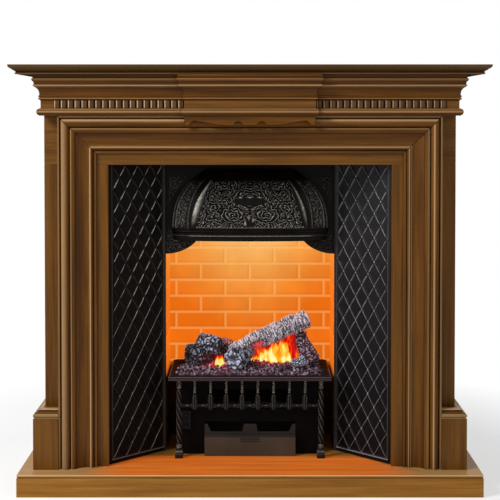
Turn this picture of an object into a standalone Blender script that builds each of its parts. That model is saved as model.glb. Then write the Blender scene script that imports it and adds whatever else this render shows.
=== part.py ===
# Electric fireplace suite: a mahogany-finish mantel and hearth round an electric stove insert.
# The insert has splayed lattice cheeks, a curved hood, a brick-effect niche and a fire basket
# with a lift-out log bed, an ash pan that slides out, a fan heater and three controls.
# Units are metres, +Z is up and the front faces -Y. The origin is under the centre of the hearth.
# Depths are measured back from the hearth's front edge.

import math

import bmesh
import bpy
from mathutils import Matrix, Vector

# Clearances
seat_gap = 0.0003
slide_gap = 0.0006
control_gap = 0.0004

# Width and height of the mantel, which the other large sizes follow
body_width = 1.240
mantel_height = 1.270

# Hearth
hearth_width = body_width + 0.132
hearth_depth = 0.460
hearth_height = 0.065
hearth_band_height = 0.009
hearth_band_undercut = 0.003
hearth_wall = 0.018

# Mantel carcass
board_thickness = 0.018
leg_face_depth = 0.115
leg_margin = 0.049
frieze_face_depth = 0.058
frieze_height = 0.1497
rear_rail_height = 0.090

# Shelf
shelf_width = body_width + 0.174
shelf_front_depth = 0.006
shelf_thickness = 0.028
shelf_lip_width = 0.022

# Centre breakfront
breakfront_width = 0.388
breakfront_step = 0.020
apron_thickness = 0.011
apron_drop = 0.0292
apron_foot = 0.017

# Moulding heights up the header
bead_height = 0.0218
reed_height = 0.0228
reed_pitch = 0.0204
reed_count = 19
reed_proud = 0.004
reed_groove = 0.0075

# Opening and the moulding round it
architrave_width = 0.112
inner_strip_width = 0.0345
opening_width = body_width - 2 * (leg_margin + architrave_width + inner_strip_width)
opening_drop = 0.2965
inner_strip_face_depth = 0.087
inner_strip_thickness = 0.017

# Plinth blocks
plinth_width = leg_margin + 0.0261
plinth_face_depth = 0.054
plinth_block_height = 0.1517
plinth_cap_height = 0.0277

# Insert
cheek_front_depth = 0.1045
niche_width = 0.524
niche_face_depth = 0.2547
insert_overlap = 0.0115
cheek_thickness = 0.008
cheek_border = 0.015
lattice_columns = 4
lattice_rows = 12
lattice_relief = 0.005
lattice_rib = 0.006
fascia_thickness = 0.0090
canopy_thickness = 0.002
fascia_height = 0.252
ear_drop = 0.047
ear_width = 0.100
brick_length = 0.162
brick_course = 0.0531
brick_cut_course = 0.0356
brick_joint = 0.009
brick_relief = 0.004
brick_thickness = 0.0117
brick_face_depth = 0.430
casing_wall = 0.002

# Hood
hood_bottom_width = 0.484
hood_top_width = 0.278
hood_bulge = 0.074
hood_top_bulge = 0.022
hood_curve = 2.8
hood_height = 0.185
hood_wall = 0.004
hood_rim_height = 0.034
hood_columns = 20
hood_panel_columns = 12
hood_panel_thickness = 0.0035

# Fire basket
tray_width = 0.502
tray_depth = 0.256
tray_front_depth = 0.150
tray_top = 0.322
tray_edge = 0.014
tray_rim = 0.018
tray_floor = 0.004
leg_spacing = 0.438
leg_depth = 0.177
leg_radius = 0.010
foot_side = 0.0245
foot_height = 0.027
spindle_count = 8
spindle_radius = 0.0056
spindle_length = 0.095
rail_height = 0.0095
rail_thickness = 0.007
rail_rise = 0.153
bed_rise = 0.013
bed_crown = 0.016
log_clearance = 0.0006

# Heater housing, under the tray
housing_width = 0.424
housing_front_depth = 0.215
housing_back_depth = 0.400
housing_wall = 0.008
bay_height = 0.1015
grille_height = 0.060
grille_width = 0.260
fan_radius = 0.026
fan_length = 0.250
fan_blades = 14
shaft_radius = 0.003
motor_length = 0.040
motor_radius = 0.024
element_radius = 0.0025
element_runs = 5
tank_width = 0.240
tank_depth = 0.058

# Ash pan
pan_width = 0.282
pan_front_depth = 0.190
pan_length = 0.190
pan_face_height = 0.0605
pan_face_thickness = 0.0065
pan_lip_height = 0.0985
pan_wall = 0.002
pan_corner_width = 0.020
pan_tab_width = 0.038
pan_slot_width = 0.057
pan_slot_height = 0.011
pan_slot_depth = 0.004

# Controls
panel_width = 0.028
panel_height = 0.058
panel_thickness = 0.0144
panel_bottom = 0.146
knob_radius = 0.0070
knob_length = 0.010
rocker_width = 0.014
rocker_height = 0.009
rocker_proud = 0.002
rocker_sunk = 0.004
rocker_spacing = 0.0140
rocker_rise = 0.0303
knob_rise = 0.0120
gland_radius = 0.009
gland_length = 0.012
lamp_radius = 0.012
lamp_length = 0.400
lamp_setback = 0.030
lamp_drop = 0.035

# Places worked out from the sizes above
half_body = body_width / 2
half_opening = opening_width / 2
half_niche = niche_width / 2
hearth_top_z = hearth_height
floor_z = hearth_top_z + seat_gap
frieze_bottom = mantel_height - frieze_height
opening_top = mantel_height - opening_drop
insert_top = opening_top + insert_overlap
fascia_edge_height = insert_top - fascia_height
shelf_bottom = mantel_height - shelf_thickness
header_top = shelf_bottom - 2 * seat_gap
architrave_outer = half_opening + inner_strip_width + architrave_width
strip_outer = half_opening + inner_strip_width - seat_gap
architrave_top = opening_top + inner_strip_width + architrave_width
breakfront_face_depth = frieze_face_depth - breakfront_step
bead_top = frieze_bottom + bead_height
reed_top = bead_top + reed_height + seat_gap
tray_bottom = tray_top - tray_edge
leg_top = tray_bottom - seat_gap
housing_top = tray_bottom - seat_gap
bay_width = pan_width + 2 * slide_gap
cavity_floor = hearth_top_z + bay_height + housing_wall
cavity_top = housing_top - housing_wall
cavity_front = housing_front_depth + housing_wall
half_cavity = housing_width / 2 - housing_wall
spindle_pitch = leg_spacing / (spindle_count + 1)
casing_width = niche_width + 2 * (brick_thickness + seat_gap + casing_wall)
casing_back = brick_face_depth + brick_thickness + seat_gap + casing_wall
casing_front = niche_face_depth + fascia_thickness + seat_gap


def start_clean():
    for thing in list(bpy.data.objects):
        bpy.data.objects.remove(thing, do_unlink=True)


def make_collection(name):
    group = bpy.data.collections.new(name)
    bpy.context.scene.collection.children.link(group)
    return group


start_clean()
suite = make_collection("electric_fireplace_suite")
cutters = make_collection("cutters")


def at(x, depth, z):
    """World point for a depth behind the hearth's front edge."""
    return Vector((x, depth - hearth_depth / 2, z))


# Materials: one for each finish, copied for each piece so that each can be changed alone.
finishes = {
    "mahogany": ((0.130, 0.062, 0.014), 0.38, 0.0),
    "mahogany_dark": ((0.085, 0.036, 0.007), 0.40, 0.0),
    "cast_black": ((0.012, 0.011, 0.010), 0.42, 0.6),
    "sheet_black": ((0.020, 0.019, 0.018), 0.45, 0.4),
    "brick": ((0.640, 0.260, 0.060), 0.85, 0.0),
    "steel": ((0.450, 0.450, 0.460), 0.35, 1.0),
    "embers": ((0.110, 0.045, 0.050), 0.90, 0.0),
    "log": ((0.160, 0.120, 0.115), 0.92, 0.0),
    "lamp": ((1.000, 0.620, 0.220), 0.30, 0.0),
    "plastic": ((0.030, 0.030, 0.030), 0.40, 0.0),
}


def finish(thing, kind):
    colour, roughness, metallic = finishes[kind]
    material = bpy.data.materials.new(thing.name + "_" + kind)
    material.use_nodes = True
    shader = material.node_tree.nodes["Principled BSDF"]
    shader.inputs["Base Color"].default_value = (*colour, 1.0)
    shader.inputs["Roughness"].default_value = roughness
    shader.inputs["Metallic"].default_value = metallic
    thing.data.materials.clear()
    thing.data.materials.append(material)
    return thing


def new_object(name, mesh, kind):
    thing = bpy.data.objects.new(name, mesh)
    suite.objects.link(thing)
    return finish(thing, kind)


def mesh_from(bm, name):
    bmesh.ops.recalc_face_normals(bm, faces=bm.faces)
    mesh = bpy.data.meshes.new(name)
    bm.to_mesh(mesh)
    bm.free()
    return mesh


def block_mesh(name, x, depth, z):
    """A box between two x values, two depths and two heights."""
    low = at(x[0], depth[0], z[0])
    high = at(x[1], depth[1], z[1])
    bm = bmesh.new()
    bmesh.ops.create_cube(bm, size=1.0)
    bmesh.ops.scale(bm, vec=high - low, verts=bm.verts)
    bmesh.ops.translate(bm, vec=(high + low) / 2, verts=bm.verts)
    return mesh_from(bm, name)


def board(name, x, depth, z, kind):
    return new_object(name, block_mesh(name, x, depth, z), kind)


def mirrored_range(inner, outer, side):
    """The x range of a piece between two distances from the centre, on one side."""
    return tuple(sorted((side * inner, side * outer)))


def plate(name, outlines, thickness, frame, kind):
    """A flat outline with any holes, extruded by its thickness about the frame's origin."""
    flat = bpy.data.curves.new(name + "_outline", "CURVE")
    flat.dimensions = "2D"
    flat.fill_mode = "BOTH"
    flat.extrude = thickness / 2
    for outline in outlines:
        spline = flat.splines.new("POLY")
        spline.points.add(len(outline) - 1)
        for point, (u, v) in zip(spline.points, outline):
            point.co = (u, v, 0.0, 1.0)
        spline.use_cyclic_u = True
    drawn = bpy.data.objects.new(name + "_outline", flat)
    cutters.objects.link(drawn)
    drawn.matrix_world = frame
    return solid_of(drawn, name, kind)


def solid_of(drawn, name, kind):
    """The evaluated mesh of a curve or of an object with modifiers, welded, in its place."""
    bpy.context.view_layer.update()
    graph = bpy.context.evaluated_depsgraph_get()
    mesh = bpy.data.meshes.new_from_object(drawn.evaluated_get(graph))
    bm = bmesh.new()
    bm.from_mesh(mesh)
    bmesh.ops.remove_doubles(bm, verts=bm.verts, dist=0.00002)
    bmesh.ops.transform(bm, matrix=drawn.matrix_world, verts=bm.verts)
    bmesh.ops.recalc_face_normals(bm, faces=bm.faces)
    bm.to_mesh(mesh)
    bm.free()
    bpy.data.objects.remove(drawn, do_unlink=True)
    mesh.name = name
    return new_object(name, mesh, kind)


def upright_frame(depth):
    """Outline x goes to the right, outline y goes up, the plate is centred on a depth."""
    turn = Matrix.Rotation(math.radians(90), 4, "X")
    return Matrix.Translation(at(0, depth, 0)) @ turn


def plan_frame(z):
    """Outline x goes to the right, outline y goes back from the hearth's front edge."""
    return Matrix.Translation(at(0, 0, z))


def arc(centre, radius, start, end, steps):
    """Points on an arc or an ellipse, from a start angle to an end angle in degrees."""
    rx, ry = radius if isinstance(radius, tuple) else (radius, radius)
    angles = [math.radians(start + (end - start) * i / steps) for i in range(steps + 1)]
    return [(centre[0] + rx * math.cos(a), centre[1] + ry * math.sin(a)) for a in angles]


def carried(name, profile, path, up, kind, span=None):
    """A moulding: its profile (out, high) carried along a path, mitred at each corner.
    Out is the side that the path has on its right, seen against the up vector."""
    count = len(path)
    first, last = span or (0, count - 1)
    steps = [(path[i + 1] - path[i]).normalized() for i in range(count - 1)]
    sides = [step.cross(up) for step in steps]
    bm = bmesh.new()
    rings = []
    for i in range(first, last + 1):
        before = sides[max(i - 1, 0)]
        after = sides[min(i, count - 2)]
        mitre = (before + after) / (1 + before.dot(after))
        centre = path[i].copy()
        if i == first and i > 0:
            centre += steps[i] * seat_gap
        if i == last and i < count - 1:
            centre -= steps[i - 1] * seat_gap
        rings.append([bm.verts.new(centre + mitre * out + up * high) for out, high in profile])
    size = len(profile)
    for ring, following in zip(rings, rings[1:]):
        for k in range(size):
            n = (k + 1) % size
            bm.faces.new((ring[k], ring[n], following[n], following[k]))
    bm.faces.new(rings[0])
    bm.faces.new(rings[-1])
    return new_object(name, mesh_from(bm, name), kind)


def turned_mesh(name, profile, steps):
    """A turned solid about Z. The profile runs from the top of the axis to its bottom."""
    mesh = bpy.data.meshes.new(name + "_profile")
    points = [(radius, 0.0, z) for radius, z in profile]
    mesh.from_pydata(points, [(i, i + 1) for i in range(len(points) - 1)], [])
    drawn = bpy.data.objects.new(name + "_profile", mesh)
    cutters.objects.link(drawn)
    screw = drawn.modifiers.new("turn", "SCREW")
    screw.steps = steps
    screw.render_steps = steps
    screw.use_merge_vertices = True
    screw.merge_threshold = 0.0001
    made = solid_of(drawn, name, "steel")
    result = made.data
    bpy.data.objects.remove(made, do_unlink=True)
    return result


def placed_copies(name, mesh, matrices, kind, smooth=True):
    """One object with a separate solid for each matrix."""
    bm = bmesh.new()
    for matrix in matrices:
        before = len(bm.verts)
        bm.from_mesh(mesh)
        bm.verts.ensure_lookup_table()
        bmesh.ops.transform(bm, matrix=matrix, verts=bm.verts[before:])
    made = new_object(name, mesh_from(bm, name), kind)
    if smooth:
        made.data.shade_smooth()
        made.data.set_sharp_from_angle(angle=math.radians(40))
    return made


def tube(name, points, radius, kind, sides=2, radii=None):
    """A round bar through a list of points, with flat ends."""
    wire = bpy.data.curves.new(name + "_wire", "CURVE")
    wire.dimensions = "3D"
    wire.bevel_depth = radius
    wire.bevel_resolution = sides
    wire.use_fill_caps = True
    spline = wire.splines.new("POLY")
    spline.points.add(len(points) - 1)
    for i, point in enumerate(points):
        spline.points[i].co = (*point, 1.0)
        spline.points[i].radius = radii[i] if radii else 1.0
    drawn = bpy.data.objects.new(name + "_wire", wire)
    cutters.objects.link(drawn)
    made = solid_of(drawn, name, kind)
    made.data.shade_smooth()
    made.data.set_sharp_from_angle(angle=math.radians(50))
    return made


def combine(target, tool, operation):
    """Apply a Boolean with a tool object, then remove the tool."""
    change = target.modifiers.new("combine", "BOOLEAN")
    change.operation = operation
    change.object = tool
    bpy.context.view_layer.update()
    graph = bpy.context.evaluated_depsgraph_get()
    mesh = bpy.data.meshes.new_from_object(target.evaluated_get(graph))
    target.modifiers.remove(change)
    kept = list(target.data.materials)
    target.data = mesh
    mesh.materials.clear()
    for material in kept:
        mesh.materials.append(material)
    bpy.data.objects.remove(tool, do_unlink=True)
    return target


def tool_block(x, depth, z):
    tool = board("tool", x, depth, z, "steel")
    suite.objects.unlink(tool)
    cutters.objects.link(tool)
    tool.hide_render = True
    tool.display_type = "WIRE"
    return tool


def relief_panel(name, cells, thickness, frame, kind):
    """A panel whose cells stand up or sink by an inset. A cell is (outline, inset, rise)."""
    bm = bmesh.new()
    known = {}

    def corner(point):
        key = (round(point[0], 6), round(point[1], 6))
        if key not in known:
            known[key] = bm.verts.new((point[0], point[1], 0.0))
        return known[key]

    made = [(bm.faces.new([corner(p) for p in outline]), inset, rise) for outline, inset, rise in cells]
    bmesh.ops.recalc_face_normals(bm, faces=bm.faces)
    if made[0][0].normal.z < 0:
        bmesh.ops.reverse_faces(bm, faces=bm.faces)
    for inset, rise in sorted({(inset, rise) for _, inset, rise in made}):
        faces = [face for face, a, b in made if (a, b) == (inset, rise)]
        bmesh.ops.inset_individual(bm, faces=faces, thickness=inset, depth=rise, use_even_offset=True)
    rim = [edge for edge in bm.edges if edge.is_boundary]
    walls = bmesh.ops.extrude_edge_only(bm, edges=rim)["geom"]
    back = [item for item in walls if isinstance(item, bmesh.types.BMVert)]
    bmesh.ops.translate(bm, vec=(0, 0, -thickness), verts=back)
    loop = [item for item in walls if isinstance(item, bmesh.types.BMEdge) and item.is_boundary]
    bmesh.ops.edgeloop_fill(bm, edges=loop)
    bmesh.ops.triangulate(bm, faces=bm.faces, quad_method="BEAUTY", ngon_method="BEAUTY")
    bmesh.ops.transform(bm, matrix=frame, verts=bm.verts)
    return new_object(name, mesh_from(bm, name), kind)


# Hearth: a top board whose edge is cut back below, on a hollow riser.
def make_hearth():
    half = hearth_width / 2
    cut = hearth_band_undercut
    band_bottom = hearth_height - hearth_band_height
    bm = bmesh.new()
    bmesh.ops.create_cube(bm, size=1.0)
    low = at(-half, 0, band_bottom)
    high = at(half, hearth_depth, hearth_height)
    bmesh.ops.scale(bm, vec=high - low, verts=bm.verts)
    bmesh.ops.translate(bm, vec=(high + low) / 2, verts=bm.verts)
    for vert in bm.verts:
        if vert.co.z < (band_bottom + hearth_height) / 2:
            vert.co.x -= math.copysign(cut, vert.co.x)
            if vert.co.y < 0:
                vert.co.y += cut
    new_object("hearth_top", mesh_from(bm, "hearth_top"), "mahogany")
    height = band_bottom - seat_gap
    outer = [(-half, 0), (half, 0), (half, hearth_depth), (-half, hearth_depth)]
    holes = []
    bay = (hearth_width - 4 * hearth_wall) / 3
    for i in range(3):
        left = -half + hearth_wall + i * (bay + hearth_wall)
        near, far = hearth_wall, hearth_depth - hearth_wall
        holes.append([(left, near), (left, far), (left + bay, far), (left + bay, near)])
    plate("hearth_riser", [outer] + holes, height, plan_frame(height / 2), "mahogany")


# Leg panels, header panel, side panels and rear rail: the carcass that carries the mouldings.
def make_carcass():
    clear_of_insert = half_opening + 0.0125
    for side, word in ((-1, "left"), (1, "right")):
        board("leg_panel_" + word, mirrored_range(clear_of_insert, half_body, side),
              (leg_face_depth, leg_face_depth + board_thickness), (floor_z, opening_top), "mahogany")
        board("side_panel_" + word, mirrored_range(half_body - board_thickness, half_body, side),
              (leg_face_depth + board_thickness + seat_gap, hearth_depth), (floor_z, header_top),
              "mahogany")
    low = opening_top + seat_gap
    notch = insert_top + canopy_thickness + 2 * seat_gap
    outline = [(-half_body, low), (-clear_of_insert, low), (-clear_of_insert, notch),
               (clear_of_insert, notch), (clear_of_insert, low), (half_body, low),
               (half_body, header_top), (-half_body, header_top)]
    plate("header_panel", [outline], board_thickness,
          upright_frame(leg_face_depth + board_thickness / 2), "mahogany")
    inside = half_body - board_thickness - seat_gap
    board("rear_rail", (-inside, inside), (hearth_depth - board_thickness, hearth_depth),
          (header_top - rear_rail_height, header_top), "mahogany")


# Plinth blocks stand on the hearth and wrap round the foot of each leg.
def make_plinths():
    outer = architrave_outer + seat_gap + plinth_width
    inner = architrave_outer + seat_gap
    wrap = half_body + seat_gap
    behind = leg_face_depth - seat_gap
    block_top = floor_z + plinth_block_height
    cap_bottom = block_top + seat_gap
    cap_top = cap_bottom + plinth_cap_height
    for side, word in ((-1, "left"), (1, "right")):
        outline = [(inner, plinth_face_depth), (outer, plinth_face_depth), (outer, hearth_depth),
                   (wrap, hearth_depth), (wrap, behind), (inner, behind)]
        plate("plinth_block_" + word, [[(side * x, d) for x, d in outline]], plinth_block_height,
              plan_frame(floor_z + plinth_block_height / 2), "mahogany_dark")
        inset = outer - wrap
        profile = [(-inset, 0.0), (-0.003, 0.0), (0.0, 0.0043), (0.0, 0.0188), (-0.0045, 0.0205),
                   (-0.0065, 0.0222), (-0.0085, 0.0250), (-0.0105, 0.0268), (-0.0125, plinth_cap_height),
                   (-inset, plinth_cap_height)]
        path = [at(side * outer, hearth_depth, cap_bottom), at(side * outer, plinth_face_depth, cap_bottom),
                at(side * inner, plinth_face_depth, cap_bottom)]
        if side > 0:
            path.reverse()
        cap = carried("plinth_cap_" + word, profile, path, Vector((0, 0, 1)), "mahogany")
        overlap = 0.002
        filler = tool_block(mirrored_range(inner, wrap, side),
                            (plinth_face_depth + inset - overlap, behind), (cap_bottom, cap_top))
        combine(cap, filler, "UNION")


# The moulding round the opening: roll, reed, hollow and bead, mitred at the head.
def architrave_profile():
    back = 0.0
    face = leg_face_depth - seat_gap
    roll = arc((0.0215, face - 0.0640), (0.0125, 0.0120), 180, 0, 8)
    reed = arc((0.0440, face - 0.0650), (0.0080, 0.0070), 180, 0, 6)
    hollow_start = Vector((0.0520, face - 0.0665))
    hollow_end = Vector((0.0910, face - 0.0800))
    hollow = []
    for i in range(1, 6):
        share = i / 6
        sag = 0.0035 * math.sin(math.pi * share)
        point = hollow_start.lerp(hollow_end, share)
        hollow.append((point.x, point.y - sag))
    bead = arc((0.0965, face - 0.0800), (0.0055, 0.0060), 180, 0, 6)
    points = [(0.0, back), (0.0, face - 0.0570), (0.0050, face - 0.0570), (0.0060, face - 0.0640)]
    points += roll + [(0.0345, face - 0.0680), (0.0360, face - 0.0680)] + reed
    points += [tuple(hollow_start)] + hollow + bead
    points += [(0.1025, face - 0.0840), (0.1045, face - 0.0840), (0.1050, face - 0.0800),
               (architrave_width, face - 0.0800), (architrave_width, back)]
    cleaned = [points[0]]
    for point in points[1:]:
        if (Vector(point) - Vector(cleaned[-1])).length > 0.00005:
            cleaned.append(point)
    return cleaned


def make_architrave():
    depth = leg_face_depth - seat_gap
    path = [at(-architrave_outer, depth, floor_z), at(-architrave_outer, depth, architrave_top),
            at(architrave_outer, depth, architrave_top), at(architrave_outer, depth, floor_z)]
    forward = Vector((0, -1, 0))
    for name, span in (("left", (0, 1)), ("head", (1, 2)), ("right", (2, 3))):
        carried("architrave_" + name, architrave_profile(), path, forward, "mahogany", span)
    face = (inner_strip_face_depth, inner_strip_face_depth + inner_strip_thickness)
    for side, word in ((-1, "left"), (1, "right")):
        board("inner_strip_" + word, mirrored_range(half_opening, strip_outer, side), face,
              (floor_z, opening_top - seat_gap), "mahogany")
    board("inner_strip_head", (-strip_outer, strip_outer), face,
          (opening_top, opening_top + inner_strip_width - seat_gap), "mahogany")


# Header: frieze, reeded strips, centre tablet and apron, bead and cornice.
def header_path(z):
    half = breakfront_width / 2
    left = [at(-half_body, hearth_depth, z), at(-half_body, frieze_face_depth, z),
            at(-half, frieze_face_depth, z), at(-half, breakfront_face_depth, z)]
    right = [Vector((-p.x, p.y, p.z)) for p in reversed(left)]
    return left + right


def make_header():
    half = breakfront_width / 2
    inside = half_body - board_thickness
    back = leg_face_depth - seat_gap
    behind_face = frieze_face_depth + board_thickness
    outline = [(-half_body, frieze_face_depth), (half_body, frieze_face_depth), (half_body, back),
               (inside, back), (inside, behind_face), (-inside, behind_face), (-inside, back),
               (-half_body, back)]
    tall = header_top - frieze_bottom
    plate("frieze_board", [outline], tall, plan_frame(frieze_bottom + tall / 2), "mahogany")
    board("centre_tablet", (-half, half), (breakfront_face_depth, frieze_face_depth - seat_gap),
          (frieze_bottom, header_top), "mahogany")
    up = Vector((0, 0, 1))
    bead = [(seat_gap, 0.0), (0.0045, 0.0)] + arc((0.0045, 0.0110), (0.0060, 0.0095), -80, 80, 6)
    bead += [(0.0045, bead_height), (seat_gap, bead_height)]
    carried("frieze_bead", bead, header_path(frieze_bottom), up, "mahogany")
    cornice_bottom = reed_top + seat_gap
    rise = header_top - cornice_bottom
    cornice = [(seat_gap, 0.0), (0.0020, 0.0), (0.0036, 0.0030), (0.0060, 0.0062), (0.0062, 0.0090),
               (0.0043, 0.0120), (0.0030, 0.0150), (0.0030, 0.0180)]
    cornice += arc((0.0195, 0.0190), (0.0165, 0.0220), 178, 110, 6)
    cornice += [(0.0183, 0.0410), (0.0183, 0.0455), (0.0170, 0.0475), (0.0170, 0.0510),
                (0.0200, 0.0555), (0.0222, 0.0600), (0.0222, 0.0640), (0.0200, 0.0670),
                (0.0200, rise), (seat_gap, rise)]
    carried("cornice", cornice, header_path(cornice_bottom), up, "mahogany")
    for side, word in ((-1, "left"), (1, "right")):
        start = half + seat_gap
        face = frieze_face_depth - seat_gap
        crest = face - reed_proud
        points = [(start, face)]
        for i in range(reed_count):
            x = start + i * reed_pitch
            points += [(x + reed_groove / 2, crest), (x + reed_pitch - reed_groove / 2, crest)]
            points += [(x + reed_pitch, face - reed_proud / 4)]
        points[-1] = (start + reed_count * reed_pitch, face)
        plate("reeded_strip_" + word, [[(side * x, d) for x, d in points]], reed_height,
              plan_frame(bead_top + seat_gap + reed_height / 2), "mahogany_dark")


# The apron hangs from the breakfront and its lower edge is scroll cut.
def make_apron():
    half = breakfront_width / 2
    top = frieze_bottom - seat_gap
    bottom = top - apron_drop
    high = bottom + 0.0125
    right = [(0.0245, bottom), (0.0300, bottom + 0.0070)]
    right += [(0.0355, high - 0.0010), (0.0400, bottom + 0.0070), (0.0460, bottom)]
    right += [(0.0700, bottom), (0.1000, bottom + 0.0035), (0.1350, bottom + 0.0095)]
    right += [(half - apron_foot - 0.0090, high), (half - apron_foot - 0.0030, high - 0.0020),
              (half - apron_foot, bottom), (half, bottom), (half, top)]
    left = [(-x, z) for x, z in reversed(right)]
    depth = breakfront_face_depth + 0.002 + apron_thickness / 2
    plate("centre_apron", [right + left], apron_thickness, upright_frame(depth), "mahogany")


# Shelf: a panel with a moulded lip along its front and ends.
def make_shelf():
    half = shelf_width / 2
    inner = half - shelf_lip_width
    front = shelf_front_depth + shelf_lip_width
    board("mantel_shelf", (-inner, inner), (front, hearth_depth), (shelf_bottom, mantel_height),
          "mahogany_dark")
    width = shelf_lip_width
    lip = [(seat_gap, 0.0), (0.0015, 0.0), (0.0015, 0.0058), (0.0032, 0.0080), (0.0075, 0.0103),
           (0.0120, 0.0122), (0.0160, 0.0148), (0.0190, 0.0190), (0.0208, 0.0228),
           (width, 0.0255), (width, shelf_thickness), (seat_gap, shelf_thickness)]
    path = [at(-inner, hearth_depth, shelf_bottom), at(-inner, front, shelf_bottom),
            at(inner, front, shelf_bottom), at(inner, hearth_depth, shelf_bottom)]
    carried("shelf_lip", lip, path, Vector((0, 0, 1)), "mahogany_dark")


# Splayed cheeks: cast panels with a raised border round a diamond lattice.
def lattice_cells(width, height):
    border = cheek_border
    wide = (width - 2 * border) / (2 * lattice_columns)
    tall = (height - 2 * border) / (2 * lattice_rows)
    columns, rows = 2 * lattice_columns, 2 * lattice_rows

    def node(i, j):
        i = min(max(i, 0), columns)
        j = min(max(j, 0), rows)
        return (border + i * wide, border + j * tall)

    cells = []
    for i in range(columns + 1):
        for j in range(rows + 1):
            if (i + j) % 2:
                corners = []
                for a, b in ((i - 1, j), (i, j - 1), (i + 1, j), (i, j + 1)):
                    if 0 <= a <= columns and 0 <= b <= rows:
                        corners.append(node(a, b))
                cells.append((corners, lattice_rib, -lattice_relief))
    low = [node(i, 0) for i in range(0, columns + 1, 2)]
    high = [node(i, rows) for i in range(0, columns + 1, 2)]
    left = [node(0, j) for j in range(0, rows + 1, 2)]
    right = [node(columns, j) for j in range(0, rows + 1, 2)]
    outer = [(0, 0), (width, 0), (width, height), (0, height)]
    rises = (0.0025, 0.0030)
    cells.append(([outer[0], outer[1]] + low[::-1], *rises))
    cells.append(([outer[1], outer[2]] + right[::-1], *rises))
    cells.append(([outer[2], outer[3]] + high, *rises))
    cells.append(([outer[3], outer[0]] + left, *rises))
    return cells


def make_cheeks():
    front_x = half_opening - 2 * seat_gap
    back_x = half_niche + 2 * seat_gap
    run = Vector((front_x - back_x, niche_face_depth - cheek_front_depth))
    width = run.length
    height = insert_top - floor_z
    slant = math.atan2(run.y, run.x)
    start = at(-front_x, cheek_front_depth, floor_z)
    stand = Matrix.Rotation(math.radians(90), 4, "X")
    left = Matrix.Translation(start) @ Matrix.Rotation(slant, 4, "Z") @ stand
    relief_panel("cheek_left", lattice_cells(width, height), cheek_thickness, left, "cast_black")
    start = at(back_x, niche_face_depth, floor_z)
    right = Matrix.Translation(start) @ Matrix.Rotation(-slant, 4, "Z") @ stand
    relief_panel("cheek_right", lattice_cells(width, height), cheek_thickness, right, "cast_black")


# Fascia over the niche: its lower edge is level in the middle and drops to an ear at each side.
def make_fascia():
    half = half_niche
    flat = half - ear_width
    ear = [(flat + ear_width * (1 - math.cos(a)), fascia_edge_height - ear_drop * math.sin(a) ** 1.5)
           for a in (math.radians(90) * i / 8 for i in range(9))]
    right = ear + [(half, insert_top)]
    left = [(-x, z) for x, z in reversed(right)]
    plate("fascia", [right + left], fascia_thickness,
          upright_frame(niche_face_depth + fascia_thickness / 2), "cast_black")


# Canopy: the sheet that closes the insert above the cheeks and the fascia.
def make_canopy():
    front = half_opening - 2 * seat_gap
    back = half_niche + 2 * seat_gap
    far = niche_face_depth + fascia_thickness
    outline = [(-front, cheek_front_depth), (front, cheek_front_depth), (back, far), (-back, far)]
    plate("canopy", [outline], canopy_thickness,
          plan_frame(insert_top + seat_gap + canopy_thickness / 2), "sheet_black")


# Hood: a curved shell on the fascia. The plan of each level is a flattened bow.
def hood_point(across, up_share, proud):
    """A point of the hood: across runs -1 to 1, up_share runs 0 at the rim to 1 at the crown."""
    ease = up_share ** hood_curve
    half = (hood_bottom_width + (hood_top_width - hood_bottom_width) * ease) / 2
    bulge = hood_bulge + (hood_top_bulge - hood_bulge) * ease
    angle = across * math.pi / 2
    steep = hood_curve * up_share ** (hood_curve - 1) / hood_height
    lean = steep * math.hypot((hood_bottom_width - hood_top_width) / 2 * math.sin(angle),
                              (hood_bulge - hood_top_bulge) * math.cos(angle))
    proud *= math.hypot(1, lean)
    x = (half + proud) * math.copysign(abs(math.sin(angle)) ** 0.85, across)
    out = (bulge + proud) * math.cos(angle) ** 0.55
    z = fascia_edge_height + hood_rim_height + up_share * hood_height
    return at(x, niche_face_depth - seat_gap - out, z)


def hood_sheet(name, span, levels, columns, proud, thickness, kind):
    """A grid on the hood's surface, given its thickness inwards."""
    bm = bmesh.new()
    grid = []
    rows = len(levels) - 1
    for level in levels:
        grid.append([bm.verts.new(hood_point(span * (2 * i / columns - 1), level, proud))
                     for i in range(columns + 1)])
    for j in range(rows):
        for i in range(columns):
            bm.faces.new((grid[j][i], grid[j][i + 1], grid[j + 1][i + 1], grid[j + 1][i]))
    mesh = bpy.data.meshes.new(name)
    bm.to_mesh(mesh)
    bm.free()
    drawn = bpy.data.objects.new(name + "_sheet", mesh)
    cutters.objects.link(drawn)
    wall = drawn.modifiers.new("wall", "SOLIDIFY")
    wall.thickness = thickness
    wall.offset = -1
    return solid_of(drawn, name, kind)


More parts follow.
